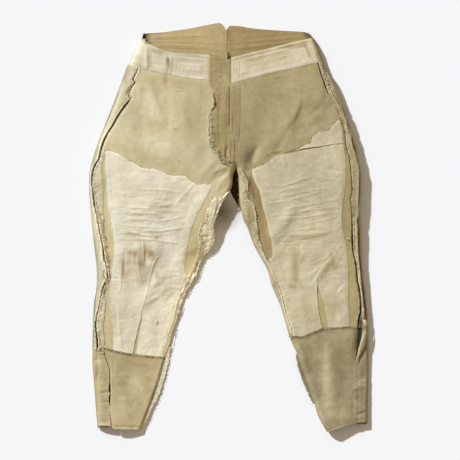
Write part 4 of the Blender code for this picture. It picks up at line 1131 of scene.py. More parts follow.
def make_wedge(finishes):
    """The piece that makes up the top outer corner of the right lining."""
    x, y, _, _ = patch(LINING_OUT["r"], upright_line(297.0), ragged(WEDGE_TOP, 0.7, 41, 7.0),
                       shifted(LINING_TOP["r"], -1.6), 1.8)
    foot = np.exp(-((y - LINING_TOP["r"](x) + 1.0) / 2.4) ** 2)
    rise = 0.3 * noise(x, y, 12, 42) + 0.25 + 0.5 * foot
    z = laid("r", x, y, COTTON_CLOTH, rise, settled(x, y, 5, "lrt"))
    add("lining_wedge_cotton", x, y, z, COTTON_CLOTH, finishes["lining_r"],
        tones(x, y, (), (), WEDGE_SOILED, WEDGE_DARK), True, "lining_wedge_r")


FACING_CREASES = {"l": (
    (146.6, 49, 147, 70, 1.4, 1.5), (150.4, 51, 150.4, 71, 2, -1), (168, 57, 168.6, 66, 1, -1.8),
    (168.6, 66, 173, 75, 0.9, -1.4), (171.4, 57, 171, 70, 1.4, 1.4), (176, 66, 180, 72, 1, -0.9),
    (165, 58, 166, 72, 1.4, 0.9), (176, 58, 204, 61, 0.9, 0.5), (176, 64, 200, 67, 1, 0.5),
    (152, 60, 164, 63, 1.2, 0.5), (184, 69, 205, 72, 1.2, 0.5), (150, 49, 208, 58.6, 0.5, -0.5),
    (137, 47.6, 130, 62.6, 0.7, -1.4),
), "r": (
    (233.4, 60, 233.6, 82, 0.5, -0.5), (239.4, 58, 239.6, 80, 0.5, -0.5), (246, 60, 300, 47, 1, 0.6),
    (246, 66, 296, 54, 1.2, 0.5), (240, 74, 300, 60, 1.6, 0.5), (232, 61, 311, 41.4, 0.5, -0.5),
    (282, 47, 306, 44, 1, 0.9), (284, 50, 306, 48, 1, -0.7), (302, 42, 310, 60, 1.6, 0.9),
)}
# Brown on the facings: stains, and painted shade in the left facing's pucker and along the stitched
# creases
FACING_SOIL_AND_SHADE = {"l": (
    (168, 58, 170, 68, 2.6, 0.65), (176, 60, 206, 63, 3, 0.28), (150, 50, 164, 55, 3, 0.3),
    (150, 49.4, 206, 57, 1.2, 0.5), (150, 54, 152, 70, 2.4, 0.3), (186, 72, 204, 74, 3, 0.2),
), "r": (
    (240, 62, 296, 52, 4, 0.35), (250, 70, 300, 58, 4, 0.16), (284, 48, 308, 44, 2.6, 0.5),
    (234, 66, 240, 78, 3, 0.2), (232, 59.4, 270, 50.4, 1.2, 0.5), (270, 50.4, 310, 40.6, 1.2, 0.5),
    (304, 44, 310, 58, 1.6, 0.4),
)}
# Paler marks on the facings: worn lower edges, and painted light where the left facing rolls over the
# outer edge
FACING_WEAR_AND_LIGHT = (
    (139, 48, 131, 64, 5, 0.3), (186, 62, 204, 66, 4, 0.4), (156, 66, 162, 72, 3, 0.5),
    (176, 76, 206, 79, 1.6, 0.9), (246, 76, 300, 64, 2.6, 0.7), (296, 54, 306, 62, 4, 0.5))
# Painted shade on the facings, in the roll, tucks and puckers and along stitches
FACING_DARK = (
    (136.6, 48, 129.4, 62.6, 0.7, 0.4), (141, 38, 135, 52, 5, 0.07), (144, 49.8, 209, 58.2, 0.5, 0.12),
    (168, 57, 168.4, 63, 0.9, 0.5), (168.4, 63, 172, 73, 0.8, 0.3), (149.6, 51, 149.8, 70, 1, 0.16),
    (142.6, 42.4, 152, 47.4, 0.6, 0.3), (231, 61, 311, 41.4, 0.5, 0.12),
    (231.4, 59, 231.6, 83, 0.5, 0.3))
FACING_INNER = {"l": 209.4, "r": 231.2}


def facing_height(side, x, y):
    """Outer face of the waist facing, with the creases of its own."""
    rise = strokes(FACING_CREASES[side], x, y)
    rise = rise + 0.3 * noise(x, y, 14, 51) + 0.12 * noise(x, y, 6, 52) + 0.3
    return laid(side, x, y, COTTON_CLOTH, rise, settled(x, y, 4))


def make_facings(finishes):
    """The waist facings, of which the left one goes on over the outer edge, and the fly."""
    for side in "lr":
        outer = OUTER["l"] if side == "l" else shifted(SEAM["r"], 1.5)
        inner = upright_line(FACING_INNER[side])
        x, y, u, _ = patch(outer, inner, WAIST_FRONT[side], FACING_LOWER[side], 2.0)
        if side == "l":
            # closer columns where the cloth rolls over the edge
            close = 1 - np.cos(np.minimum(u * 4, 1) * math.pi / 2)
            share = np.where(u < 0.25, close * 0.25, u)
            x = outer(y) + (inner(y) - outer(y)) * share
        shades = tones(x, y, FACING_WEAR_AND_LIGHT, (), FACING_SOIL_AND_SHADE[side], FACING_DARK,
                       {"wrinkled": 0.12})
        add("waist_facing_cotton_" + side, x, y, facing_height(side, x, y), COTTON_CLOTH,
            finishes["facing_" + side], shades, side == "r", "waist_facing_" + side)
    make_fly(finishes)


FLY_EDGE = lengthwise([
    (208.6, 54), (208.4, 60), (208.4, 78), (209, 84), (210.6, 89), (212.4, 94), (213, 100), (213, 104),
    (210, 110), (208.6, 116), (208, 124), (208.4, 134), (208.6, 142), (210.6, 148), (214, 153),
    (218, 159), (221, 164)])
FLY_CREASES = (
    (211.4, 58, 211.4, 82, 0.5, -0.4), (221, 58, 221.4, 82, 0.5, -0.4), (211, 94, 212, 108, 1.2, 1.6),
    (213.4, 93, 215.8, 103, 0.7, -2.2), (215.8, 103, 216, 108, 0.9, -2.6),
    (215.4, 108.4, 210.6, 112, 0.8, -2), (219.4, 96, 219.8, 140, 1.6, -0.5),
    (224.6, 92, 224.4, 140, 1.6, 0.7), (220.5, 152.6, 220.6, 158, 0.8, -3),
    (227.2, 147, 226.6, 158, 1, -3), (224, 146, 224, 158, 1, 1.2), (229.6, 140, 229.6, 160, 0.9, 1.2),
    (218.4, 150, 218.6, 158, 0.9, 0.9), (209.6, 146, 217, 153.6, 1.1, 1.4),
    (212, 60, 220, 64, 0.8, 0.4), (212, 70, 222, 72, 0.8, 0.4))
FLY_SOILED = (
    (222.4, 100, 222.4, 136, 1.2, 0.5), (228, 92, 228, 128, 1, 0.25), (212, 60, 226, 64, 3, 0.2),
    (218, 84, 226, 88, 2, 0.15), (226, 66, 228, 84, 1.6, 0.2))
# Painted shade on the fly, in its holes, between its frayed curls and along creases
FLY_DARK = (
    (227.2, 147.5, 227.2, 151.5, 0.9, 0.55), (226.7, 152, 226.5, 158, 0.7, 0.9),
    (220.6, 153, 220.4, 158, 0.65, 0.9), (213.4, 93.6, 215.4, 101, 0.6, 0.9),
    (215.4, 100, 216, 104, 0.6, 0.7), (216, 103, 216, 108, 0.9, 1), (214.6, 109, 210.8, 112, 0.6, 0.7),
    (211, 119, 213, 120, 1, 0.45), (211, 128, 213, 127, 1, 0.5), (214.4, 133, 215, 136, 0.8, 0.6),
    (212, 143, 214.4, 144.6, 1, 0.6), (222.6, 113, 222.6, 136, 0.5, 0.2),
    (211, 123.6, 211.4, 124.6, 0.9, 0.3), (211.6, 131, 211.9, 132.4, 0.8, 0.35),
    (214.6, 137, 214.8, 138.6, 0.6, 0.4), (213.8, 141.2, 214.8, 141.6, 0.6, 0.5),
    (213.8, 143.6, 214.2, 144, 0.5, 0.4), (211.6, 145, 212, 146.6, 0.5, 0.3),
    (209, 102, 209.2, 107, 0.4, 0.3), (228.4, 157, 228.6, 158, 0.6, 0.3),
    (222.4, 161, 223, 164, 0.6, 0.35))
# The fly's edge is frayed from here on down, to the full by the second height
FLY_FRAYED = (-342, -320)
FLY_TOP = crosswise([(205, 55), (231, 56), (236, 56)])
FLY_WORN = (
    (229.4, 126, 231.8, 134, 0.8, 1.2), (231.8, 134, 233.6, 144, 0.8, 1.2),
    (233.6, 144, 233.8, 158, 0.8, 0.8))
FLY_RIGHT = lengthwise([
    (231.1, 50), (231.1, 86), (229.3, 88.4), (229.3, 124), (229.8, 127), (231.8, 132), (234.1, 142),
    (234.5, 158), (236.2, 168)])
FLY_FOOT = crosswise([
    (208, 150), (213.3, 152.5), (220.5, 162.6), (224.5, 164.2), (229, 162.4), (236, 162)])
# The turned fly edge on the right: its inner edge, its top and its foot
TURNED_EDGE = lengthwise([(240, 84), (240, 110), (239.4, 130), (239, 142)])
TURNED_TOP = crosswise([(226, 82), (245, 82)])
TURNED_FOOT = crosswise([(226, 140), (245, 142)])
TURNED_CREASES = (
    (231.6, 112, 231.8, 136, 0.9, 1), (233.4, 112, 232.8, 130, 0.8, -1),
    (239.4, 96, 239.4, 130, 0.6, -0.4))
TURNED_SOILED = (
    (233.2, 113, 232.6, 131, 0.9, 0.6), (236, 96, 236, 132, 2, 0.2), (239.6, 92, 239.6, 126, 0.6, 0.3),
    (235, 86, 235, 132, 4, 0.5))
# A faint painted shade over the turned fly edge
TURNED_DARK = ((235, 88, 235, 132, 4.0, 0.05),)


def make_fly(finishes):
    """The fly facing on the left, and the turned fly edge on the right."""
    x, y, _, _ = patch(ragged(FLY_EDGE, 0.8, 61, 6.0), FLY_RIGHT, FLY_TOP, FLY_FOOT, 1.5)
    from_edge = x - FLY_EDGE(y)
    band = np.exp(-((from_edge - 5) / 7.5) ** 2) * step_between(-y, *FLY_FRAYED)
    bubbles = band * (0.7 * noise(x, y, 4.5, 62) + 0.5 * noise(x, y, 2.6, 60))
    rise = strokes(FLY_CREASES, x, y) + 0.3 * noise(x, y, 10, 63) + 0.14 * noise(x, y, 4, 64)
    rise = rise + bubbles + 0.7 * band
    over = np.clip(from_edge / 3.0, 0, 1) * np.clip((FLY_RIGHT(y) - x) / 3.5, 0, 1)
    z = top_face("l", x, y, DRILL_CLOTH) + (ON_LINING - DRILL_CLOTH) * (0.1 + 0.9 * over) + rise
    # paler at the frayed edge and over the frayed band, with a painted highlight on the tops of its
    # bubbles
    worn = 0.7 * np.exp(-(from_edge / 4.0) ** 2) + 0.35 * band + 1.4 * np.maximum(bubbles, 0)
    shades = tones(x, y, FLY_WORN, (), FLY_SOILED, FLY_DARK, {"worn": worn})
    add("fly_facing_drill_l", x, y, z, DRILL_CLOTH, finishes["fly"], shades, False,
        "fly_facing_l")
    x, y, _, _ = patch(TURNED_EDGE, shifted(CENTRE_FRONT, 0.6), TURNED_TOP, TURNED_FOOT, 1.7)
    rise = 0.2 * noise(x, y, 9, 66) + strokes(TURNED_CREASES, x, y)
    z = laid("r", x, y, COTTON_CLOTH, rise, settled(x, y, 5, "ltb"))
    add("fly_facing_drill_r", x, y, z, COTTON_CLOTH, finishes["front_r"],
        tones(x, y, (), (), TURNED_SOILED, TURNED_DARK), True, "fly_facing_r")


def seam_ridge(side, x, y):
    """How much the calf's top edge stands over the panels, where its seam is overcast."""
    below = CALF_SEAM[side](x) - y
    return (ON_PANEL + 0.35 + 0.3 * noise(x, y, 4, 118)) * (1 - step_between(below, 0.5, 5.0))


def make_calves(finishes):
    """The lower legs: the calf's front and its back."""
    for side in "lr":
        w = way(side)
        x, y, _, _ = patch(
            shifted(PLACKET[side], w * 0.5), shifted(INNER[side], -w * 3.2),
            ragged(shifted(CALF_SEAM[side], 1.6), 0.5, 117, 5.0), HEM[side], 2.2)
        z = top_face(side, x, y) + strokes(CALF_CREASES[side], x, y) + seam_ridge(side, x, y)
        if side == "r":
            dip = step_between(y, -330, -290) * np.exp(-(np.abs(x - PLACKET["r"](y)) / 7) ** 2)
            z = z - 3 * dip
        shades = tones(x, y, CALF_WEAR_AND_HIGHLIGHT[side], (), CALF_SOILED[side], CALF_DARK[side])
        add("calf_front_drill_" + side, x, y, z, DRILL_CLOTH, finishes["calf_" + side], shades,
            side == "r", "calf_front_" + side)
        make_calf_back(side, finishes)


CALF_CREASES = {"l": (
    (112, 376, 136, 375, 1.4, 0.5), (114, 400, 134, 399, 1.6, 0.6), (124, 382, 128, 398, 3.6, -1),
    (116, 360, 114, 420, 3, 0.6), (140, 372, 132, 400, 4, 0.6), (120, 356, 150, 362, 2.4, -0.5),
    (114, 425.6, 139, 426.6, 0.5, -0.6), (111.4, 356, 112.4, 400, 1, 0.8),
), "r": (
    (326, 338, 328, 412, 7.5, 2.4), (308, 336, 312, 410, 5.5, -1.4), (342, 338, 342, 412, 5, -1.7),
    (327, 429.4, 350, 421.6, 0.5, -0.6), (298, 340, 306, 366, 2, 0.8), (316, 408, 350, 404, 3, 0.8),
    (336, 352, 346, 366, 3, 0.7), (302, 344, 306, 352, 2, -0.8), (336, 386, 350, 396, 4, -0.8),
)}
# Paler marks on the calves: wear along the hems, and a painted highlight on the right calf's middle
# ridge
CALF_WEAR_AND_HIGHLIGHT = {"l": (
    (112, 410, 132, 420, 8, 0.3), (112, 354, 111, 420, 1, 0.4), (132, 376, 140, 390, 5, 0.3),
    (114, 427, 139, 428.4, 0.8, 0.6),
), "r": (
    (326, 340, 328, 408, 6, 0.7), (318, 418, 345, 412, 5, 0.35), (327, 431, 350, 423.4, 0.8, 0.4),
)}
CALF_SOILED = {"l": ((120, 358, 140, 362, 5, 0.12),), "r": ((300, 340, 308, 350, 4, 0.1),)}
# Painted shade on the calves: under the left calf's inner edge, in the right lacing opening, folds and
# seams; rows of negative strength paint light
CALF_DARK = {"l": (
    (114, 425.6, 139, 426.6, 0.5, 0.2), (163.8, 358, 157.6, 381, 0.5, 1.4),
    (157.6, 381, 149.4, 404, 0.5, 1.4), (149.4, 404, 139.8, 429, 0.5, 1.4),
    (121, 372, 130, 400, 6, 0.13), (112, 352, 140, 356, 1, 0.1), (126, 362, 150, 366, 3, 0.08),
    (142, 376, 140, 398, 4, -0.1), (124, 420, 140, 412, 4, 0.05), (125, 390, 125, 424, 9, 0.05),
), "r": (
    (327, 429.4, 350, 421.6, 0.3, 0.25), (343, 344, 343, 402, 5, 0.16), (304, 344, 318, 398, 6, 0.16),
    (326, 340, 329, 412, 6, -0.08), (352.6, 330, 352.4, 352, 0.4, 0.25), (359, 318, 357.6, 349, 1, 0.9),
    (355.4, 330, 355, 352, 2.4, 0.28), (336, 392, 350, 398, 4, 0.1), (314, 364, 319, 400, 4, 0.13),
    (352.2, 354, 352, 424, 0.5, 0.25), (290, 338.6, 305, 376, 0.5, 0.3), (305, 376, 318, 415, 0.5, 0.3),
)}


def make_calf_back(side, finishes):
    """Lower back of the leg: strip beside the lacing edge, outer edge, underside, inner edge."""
    x, y, z, _, _ = wrap(side, PLACKET_BACK[side],
                         lambda t: np.abs(PLACKET[side](t) - PLACKET_BACK[side](t)),
                         shifted(CALF_SEAM[side], 1.6), HEM[side], 110, 16,
                         STRIP_CREASES[side])
    z = z + seam_ridge(side, x, y) * (z > 8)
    # painted shade along the left calf's outer rim, and on the edge tucked into the lacing gap
    dark = np.exp(-(np.abs(x - OUTER[side](y)) / 3.2) ** 2) * (0.4 if side == "l" else 0.0)
    dark[:, :len(TUCK) - 1] += 1.0
    shades = tones(x, y, STRIP_WEAR_AND_LIGHT[side], (), STRIP_SOILED[side], STRIP_DARK[side],
                   {"dark": dark, "wrinkled": STRIP_WRINKLED})
    add("calf_back_drill_" + side, x, y, z, DRILL_CLOTH, finishes["calf_" + side], shades,
        side == "l", "calf_back_" + side)


STRIP_CREASES = {"l": (
    (99, 394, 109, 391.6, 0.9, -1.2), (98, 390.4, 108, 389, 1.2, 0.9),
    (102, 402.4, 110, 401.4, 0.8, -0.9), (101, 404.4, 110, 404, 1, 0.4),
    (104, 409.4, 111, 408, 0.8, -0.9), (104, 386, 109, 388, 1.4, -0.7),
    (99.6, 366, 95.4, 380, 1.4, -1.2), (95.4, 380, 94.6, 396, 1.2, -0.9), (101, 362, 104, 382, 2, 0.9),
    (99, 421.6, 110, 422, 0.8, -0.9), (97, 424.6, 110, 425, 0.9, 1.2), (98, 417.6, 110, 418, 0.7, 0.8),
    (93, 362, 98, 359, 1, -1),
), "r": (
    (354, 392, 366, 389, 2.4, -1.4), (358, 414.4, 366, 411.6, 0.9, -1.6),
    (358, 417, 366, 416, 0.9, 1.6), (354, 420, 366, 419.6, 0.8, -1), (353, 380.6, 364, 377, 0.7, 0.6),
)}
STRIP_WRINKLED = 0.4
# Paler marks on the strips beside the lacing edges: wear at the hems and patch edge, and painted light
# on the right strip beside the lacing edge
STRIP_WEAR_AND_LIGHT = {"l": (
    (98, 358, 106, 372, 4, 0.6), (98, 424, 110, 424.6, 0.8, 0.8), (98, 384, 106, 386, 3, 0.5),
    (98, 412, 108, 414, 2.4, 0.3),
), "r": (
    (353, 382.4, 366, 379.4, 0.7, 0.8), (353, 386, 366, 384, 3, 0.4), (357, 418, 366, 417, 0.9, 1),
    (354, 404, 364, 406, 4, 0.3), (354.8, 384, 354.8, 422, 2.2, 0.5),
)}
STRIP_SOILED = {
    "l": ((104, 388, 108, 394, 1.6, 0.2),),
    "r": ((358, 414, 366, 411, 1, 0.3), (360, 420, 367, 420, 1, 0.3)),
}
# Painted shade on the strips beside the lacing edges, under the hems and in creases
STRIP_DARK = {"l": (
    (98, 426.8, 111, 426.8, 0.9, 1.2), (100, 393.6, 108, 392.2, 0.5, 0.16),
    (102, 402, 110, 401.4, 0.6, 0.25), (99, 368, 95.6, 380, 0.8, 0.16), (104, 398, 104, 426, 5, 0.11),
), "r": (
    (355, 424, 367, 423, 0.9, 1.2), (361, 364, 363, 376, 3, 0.3), (354, 394, 366, 390, 2.6, 0.2),
    (358, 413.6, 366, 411, 0.7, 0.4), (356, 422.4, 366, 421.6, 0.6, 0.3),
    (365.4, 362, 364.6, 374, 0.5, 0.4),
)}
# Strips beside the side seam: width in steps of 2.4 mm by drawing step down
SIDE_WIDTH = {"front_l": lengthwise_table([
    (66, 3), (73, 2.2), (80, 2.5), (83, 2), (90, 1.8), (98, 1.6), (115, 1.4), (140, 1.8), (150, 3),
    (158, 5), (165, 7), (173, 9.6), (184, 11.6), (200, 9.5), (216, 7), (229, 4.6), (240, 3.6), (250, 3),
    (259, 3.6), (266, 2.6), (277, 1.8), (284, 1.6), (290, 2.2), (305, 6), (320, 8), (335, 7.6),
    (350, 7.6),
]), "back_l": lengthwise_table([
    (66, 8), (75, 8), (85, 7), (95, 5), (105, 5), (115, 4.5), (128, 3.4), (140, 3), (150, 2.6),
    (160, 2.4), (170, 2), (184, 1.8), (200, 2.2), (216, 2.6), (229, 3.2), (240, 4), (250, 4.2),
    (262, 4.5), (277, 4), (290, 2.5), (305, 2.2), (320, 2), (335, 1.8), (350, 1.6),
]), "front_r": lengthwise_table([
    (62, 0.9), (95, 0.9), (108, 1.8), (118, 2.2), (134, 1.6), (146, 1.2), (159, 1.3), (173, 1.5),
    (190, 1.3), (200, 1.5), (221, 1.7), (243, 1.3), (265, 1.5), (280, 1.5), (290, 2.4), (305, 3),
    (330, 3.4),
]), "back_r": lengthwise_table([
    (62, 3), (80, 3.4), (95, 3.4), (105, 4), (118, 5), (127, 4.4), (134, 5.4), (146, 6.4), (159, 7.2),
    (173, 8.2), (190, 6.6), (200, 7.4), (214, 6.2), (221, 4.2), (230, 4.8), (243, 4.8), (253, 4.4),
    (265, 3.2), (279, 3), (289, 2.6), (300, 3), (330, 4),
])}
# How far the seam's edge stands up, in millimetres
LIP = {"front_l": lengthwise_table([
    (60, 0), (146, 0), (160, 0.8), (250, 1.4), (350, 1.6),
]), "back_l": lengthwise_table([
    (60, 0.4), (92, 0.8), (100, 3), (160, 3.4), (184, 2), (215, 2.4), (262, 2.4), (290, 1.8),
    (350, 1.8),
]), "front_r": lengthwise_table([
    (60, 0), (100, 0), (112, 0.8), (160, 1.2), (350, 1.4),
]), "back_r": lengthwise_table([
    (60, 1.4), (95, 1.2), (120, 0.7), (200, 0.9), (214, 1.4), (250, 1.6), (316, 2),
])}
FAR_LIP = {"front_l": lengthwise_table([
    (60, 0), (350, 0.4),
]), "back_l": lengthwise_table([
    (60, 0), (350, 0.3),
]), "front_r": lengthwise_table([
    (60, 0), (350, 0.3),
]), "back_r": lengthwise_table([
    (62, 0.6), (90, 1.2), (118, 0.9), (125, 3), (156, 3.2), (164, 1.4), (172, 3.2), (200, 3.2),
    (213, 1.6), (228, 3.2), (253, 2.6), (280, 2.6), (318, 3.2),
])}
# How crumpled the strips are
CRUMPLE = {"front_l": lengthwise_table([
    (60, 0.1), (140, 0.3), (160, 1), (206, 0.8), (220, 1.3), (350, 1.2),
]), "back_l": lengthwise_table([
    (60, 0.7), (95, 0.5), (110, 0.25), (190, 0.5), (210, 1.1), (350, 1.2),
]), "front_r": lengthwise_table([
    (60, 0), (96, 0.1), (110, 0.7), (350, 1),
]), "back_r": lengthwise_table([
    (60, 0.6), (80, 1), (122, 0.9), (150, 0.6), (200, 0.6), (240, 1), (350, 1.1),
])}
SIDE_SPAN = {"l": (64, 350.5), "r": (62.5, 320.5)}
SIDE_SEED = {"front_l": 105, "back_l": 100, "front_r": 108, "back_r": 103}


def make_allowances(finishes):
    """Seam allowances: crumpled strips with frayed edges beside every seam."""
    for side in "lr":
        for layer in ("front", "back"):
            make_side_allowance(layer, side, finishes)
    for side in "lr":
        make_inseam_allowance(side, finishes)
        make_calf_allowance(side, finishes)
    make_placket(finishes)


def make_side_allowance(layer, side, finishes):
    """The strip beside the side seam, on the front or on the back."""
    key = layer + "_" + side
    front = layer == "front"
    w = way(side) * (1 if front else -1)
    seed = SIDE_SEED[key]
    near = seam_edge(side, layer)

    def far(t):
        room = np.abs(OUTER[side](t) - SEAM[side](t)) - 1.2
        wide = SIDE_WIDTH[key](t) * UNIT
        wide = wide if front else np.minimum(wide, np.maximum(room, 1.5))
        return SEAM[side](t) + w * np.maximum(wide, SEAM_OPEN[side](t) * GAP_SHARE[layer] + 1.4)

    top, bottom = SIDE_SPAN[side]
    x, y, _, _ = patch(ragged(near, 0.35, seed, 4.0), ragged(far, 0.9, seed + 2, 6.0),
                       level_line(top), level_line(bottom), 1.5)
    away = np.abs(x - near(y))
    lip = LIP[key](y) * np.exp(-((away - 1.2) / 2.0) ** 2)
    lip = lip + FAR_LIP[key](y) * np.exp(-((np.abs(x - far(y)) - 0.6) / 3.0) ** 2)
    crumple = 0.5 * noise(x, y, 3.4, seed + 4) + 0.4 * noise(x, y, 8.0, seed + 5)
    raised = np.maximum(settled(x, y, 2.4, "rtb" if w > 0 else "ltb"),
                        np.minimum(FAR_LIP[key](y), 1.0))
    z = laid(side, x, y, COTTON_CLOTH, crumple * CRUMPLE[key](y) + lip, raised)
    if not front:
        z = z + strokes(WRAP_CREASES[side], x, y)
    # paler along the seam's frayed edge, and more where its lip stands up, a painted highlight on the
    # lip; the back's strips share the wrap's painted shade
    shades = tones(x, y, (), (), (), () if front else WRAP_DARK[side], {
        "worn": (0.3 + 0.25 * LIP[key](y)) * np.exp(-((away - 1.0) / 2.6) ** 2) + 0.15,
        "soiled": 0.25 * np.maximum(noise(x, y, 14, seed + 6), 0)})
    add("side_allowance_drill_" + key, x, y, z, COTTON_CLOTH, finishes["edge_" + side], shades,
        w < 0, "side_allowance_" + key)


# The inseam allowances: the line each starts at and the step down where it ends
INSEAM_SPAN = {
    "l": (
        crosswise([
            (200, 196), (211, 194.6), (216, 196.4), (222, 196.6), (226, 193), (231, 190.6),
            (236, 190)]),
        331),
    "r": (level_line(168), 333),
}
# Way in from the silhouette, nicks, crumple, reach of the bend at the edge, worn rim, and a dark tone
# below zero, which paints light
INSEAM_LIKE = {"l": (0.6, 1.1, 0.6, 6.0, 1.0, -0.18), "r": (1.6, 0.5, 0.3, 1.5, 0.1, -0.07)}
INSEAM_CREASES = {"l": (
    (216.5, 194, 218.4, 203, 1.8, -1.8), (218, 203, 215.6, 214, 0.9, -2),
    (213, 194, 206, 228, 2.6, 1.4), (221.6, 199, 222.4, 194, 0.8, -2.6),
    (222.4, 194, 226, 192, 0.8, -1.6), (223.6, 198, 228.6, 192.4, 1.2, 2.6),
    (225.6, 203, 219, 208, 1, 1.4), (214.6, 225, 215.8, 233, 0.9, -2.6), (213, 224, 213, 230, 0.7, 1.2),
    (217, 224, 217.4, 233, 0.7, 1.2), (199, 233, 199.2, 247, 0.7, -1.6),
    (200, 244, 205, 243, 0.7, -1.4), (200, 236.6, 210, 236, 1.2, -1.4),
    (197.6, 262, 194.8, 273, 0.8, -2.2), (194, 276, 188, 290, 0.9, 1.2),
), "r": (
    (240, 172, 243, 206, 1.2, 0.8), (245, 205, 252, 240, 1.6, 0.8), (246.8, 190, 247.4, 200, 0.8, -2),
    (243.6, 174, 245.4, 186, 0.7, -1.2),
)}
# Brown on the inseam allowances: soil, and painted shade in their fold troughs
INSEAM_SOIL_AND_SHADE = {
    "l": (
        (217.6, 196, 218.4, 204, 1.6, 0.8), (200, 237, 208, 236.4, 1.6, 0.2),
        (203, 254, 198, 262, 1.6, 0.4), (206, 212, 202, 228, 2, 0.15)),
    "r": ((244, 172, 248, 190, 1.6, 0.5), (240, 180, 243, 206, 1.4, 0.2)),
}
# Painted shade on the inseam allowances, in slits, hollows and fold troughs
INSEAM_DARK = {"l": (
    (199.2, 233, 199.2, 242, 0.5, 0.8), (198.8, 243, 199.2, 247, 0.7, 0.9),
    (201, 244, 204.6, 243, 0.6, 0.7), (217.8, 203, 215.8, 213, 0.6, 0.7),
    (214.6, 225.4, 216, 233, 0.75, 0.85), (221.4, 199, 222.2, 195, 0.5, 0.85),
    (222.6, 194, 225, 192.6, 0.5, 0.7), (207, 236, 205.6, 250, 2.6, 0.3),
    (197.8, 262.6, 195, 272.6, 0.7, 0.8), (209.6, 200, 207.8, 208.6, 0.5, 0.6),
), "r": (
    (246.9, 190, 247.3, 199, 0.8, 0.8), (247.8, 221, 253.4, 242, 0.6, 0.4),
    (253.4, 242, 262.6, 262, 0.6, 0.3), (243.8, 175, 245, 184, 0.5, 0.4),
    (241, 214, 252, 242, 0.8, 0.5), (252, 242, 268, 270, 0.8, 0.5),
)}


def make_inseam_allowance(side, finishes):
    """Frayed allowance between the bare drill and the inner edge of the leg."""
    w = way(side)
    tuck, nicks, crumpled, reach, rim_worn, dark = INSEAM_LIKE[side]
    edge = shifted(INNER[side], -w * tuck)
    start, bottom = INSEAM_SPAN[side]

    def line(t):
        return np.where(w * (edge(t) - FRAY_LINE[side](t)) > 3.0, FRAY_LINE[side](t),
                        edge(t) - w * 3.0)

    x, y, _, _ = patch(ragged(line, 1.0, 91, 5.0), ragged(edge, nicks, 93, 7.0),
                       start, level_line(bottom), 1.5)
    from_line = np.abs(x - line(y))
    lip = 1.5 * np.exp(-((from_line - 1.0) / 1.8) ** 2)
    crumple = 0.5 * noise(x, y, 3.6, 95) + crumpled * noise(x, y, 9.0, 96)
    inset = np.maximum(reach - w * (INNER[side](y) - x), 0)
    z = top_face(side, x - w * inset, y, ON_PANEL) - 0.3 * inset + lip
    z = z + np.maximum(crumple, -0.7) + strokes(INSEAM_CREASES[side], x, y)
    rim = np.exp(-(np.abs(x - edge(y)) / 3.0) ** 2) * rim_worn
    # the dark tone from the table paints light on the allowance
    shades = tones(x, y, (), (), INSEAM_SOIL_AND_SHADE[side], INSEAM_DARK[side], {
        "worn": 0.8 * np.exp(-((from_line - 1.0) / 2.0) ** 2) + 0.8 * rim, "dark": dark})
    add("inseam_allowance_drill_" + side, x, y, z, COTTON_CLOTH,
        finishes["inseam_l" if side == "l" else "edge_r"], shades, side == "r",
        "inseam_allowance_" + side)


# The calf allowance: its inner line, its frayed edge, the steps down, and its least width
CALF_FRAY = {
    "l": (
        lengthwise([(166.6, 352), (165, 358), (158.6, 381), (150.6, 404), (140.6, 428)]),
        lengthwise([
            (170.6, 346), (169.8, 352), (168.4, 362), (165.4, 374), (162.4, 384), (157.6, 398),
            (153.6, 405), (147.4, 419), (143, 427)]),
        (347, 427), 3.4),
    "r": (
        lengthwise([(296.6, 352), (305, 376), (313.2, 400), (316, 410)]),
        lengthwise([
            (295.4, 352), (297.4, 364), (301.6, 378), (306.4, 390), (311.8, 401.6), (315, 408)]),
        (354, 404), 1.4),
}


def make_calf_allowance(side, finishes):
    """Frayed allowance of the calf's inner seam, which stands out past the edge."""
    w = way(side)
    start, end, (top, bottom), least = CALF_FRAY[side]

    def far(t):
        return start(t) + w * np.maximum(w * (end(t) - start(t)), least)

    x, y, u, _ = patch(shifted(start, -w), ragged(far, 1.1, 101, 3.4), level_line(top),
                       level_line(bottom), 1.2)
    base = heights(side, INNER[side](y) - w * 0.2, y)[1]
    z = base + 1.0 - 1.6 * u + 0.5 * noise(x, y, 4.0, 103)
    # the left one grows paler towards its frayed edge and has painted shade along its inner line, under
    # the calf's edge; the right one has painted shade all over
    if side == "l":
        plus = {"worn": 0.4 + 0.5 * u, "dark": 0.12 + 0.9 * np.exp(-(u * 6) ** 2)}
    else:
        plus = {"dark": 0.42}
    add("calf_allowance_drill_" + side, x, y, z, COTTON_CLOTH, finishes["edge_" + side],
        tones(x, y, plus=plus), side == "r", "calf_allowance_" + side)


FLAP_LEFT = lengthwise([
    (361.6, 318.4), (362.4, 321), (364.6, 328), (362.6, 334), (360.4, 341), (358, 350), (356.4, 359),
    (356.2, 361.4)])
FLAP_RIGHT = lengthwise([
    (363, 318.4), (367.6, 322), (366.6, 328), (367.8, 334), (367.4, 340), (364.6, 348), (359.6, 357),
    (356.8, 361.4)])
# Painted highlight on the flap's top and along its left rim
FLAP_HIGHLIGHT = ((364, 319, 365.4, 325, 1.8, 1.2), (364.4, 329, 357.6, 354, 0.7, 0.8))
# Painted shade along the flap's edges
FLAP_DARK = (
    (365.2, 326.6, 366, 328.4, 0.9, 0.5), (367.8, 334, 364.6, 348, 0.6, 0.6),
    (364.6, 348, 358, 360, 0.6, 0.6))
PATCH_TOP = crosswise([(350, 380.6), (353, 380.4), (359, 380), (366, 379), (369, 378.6)])


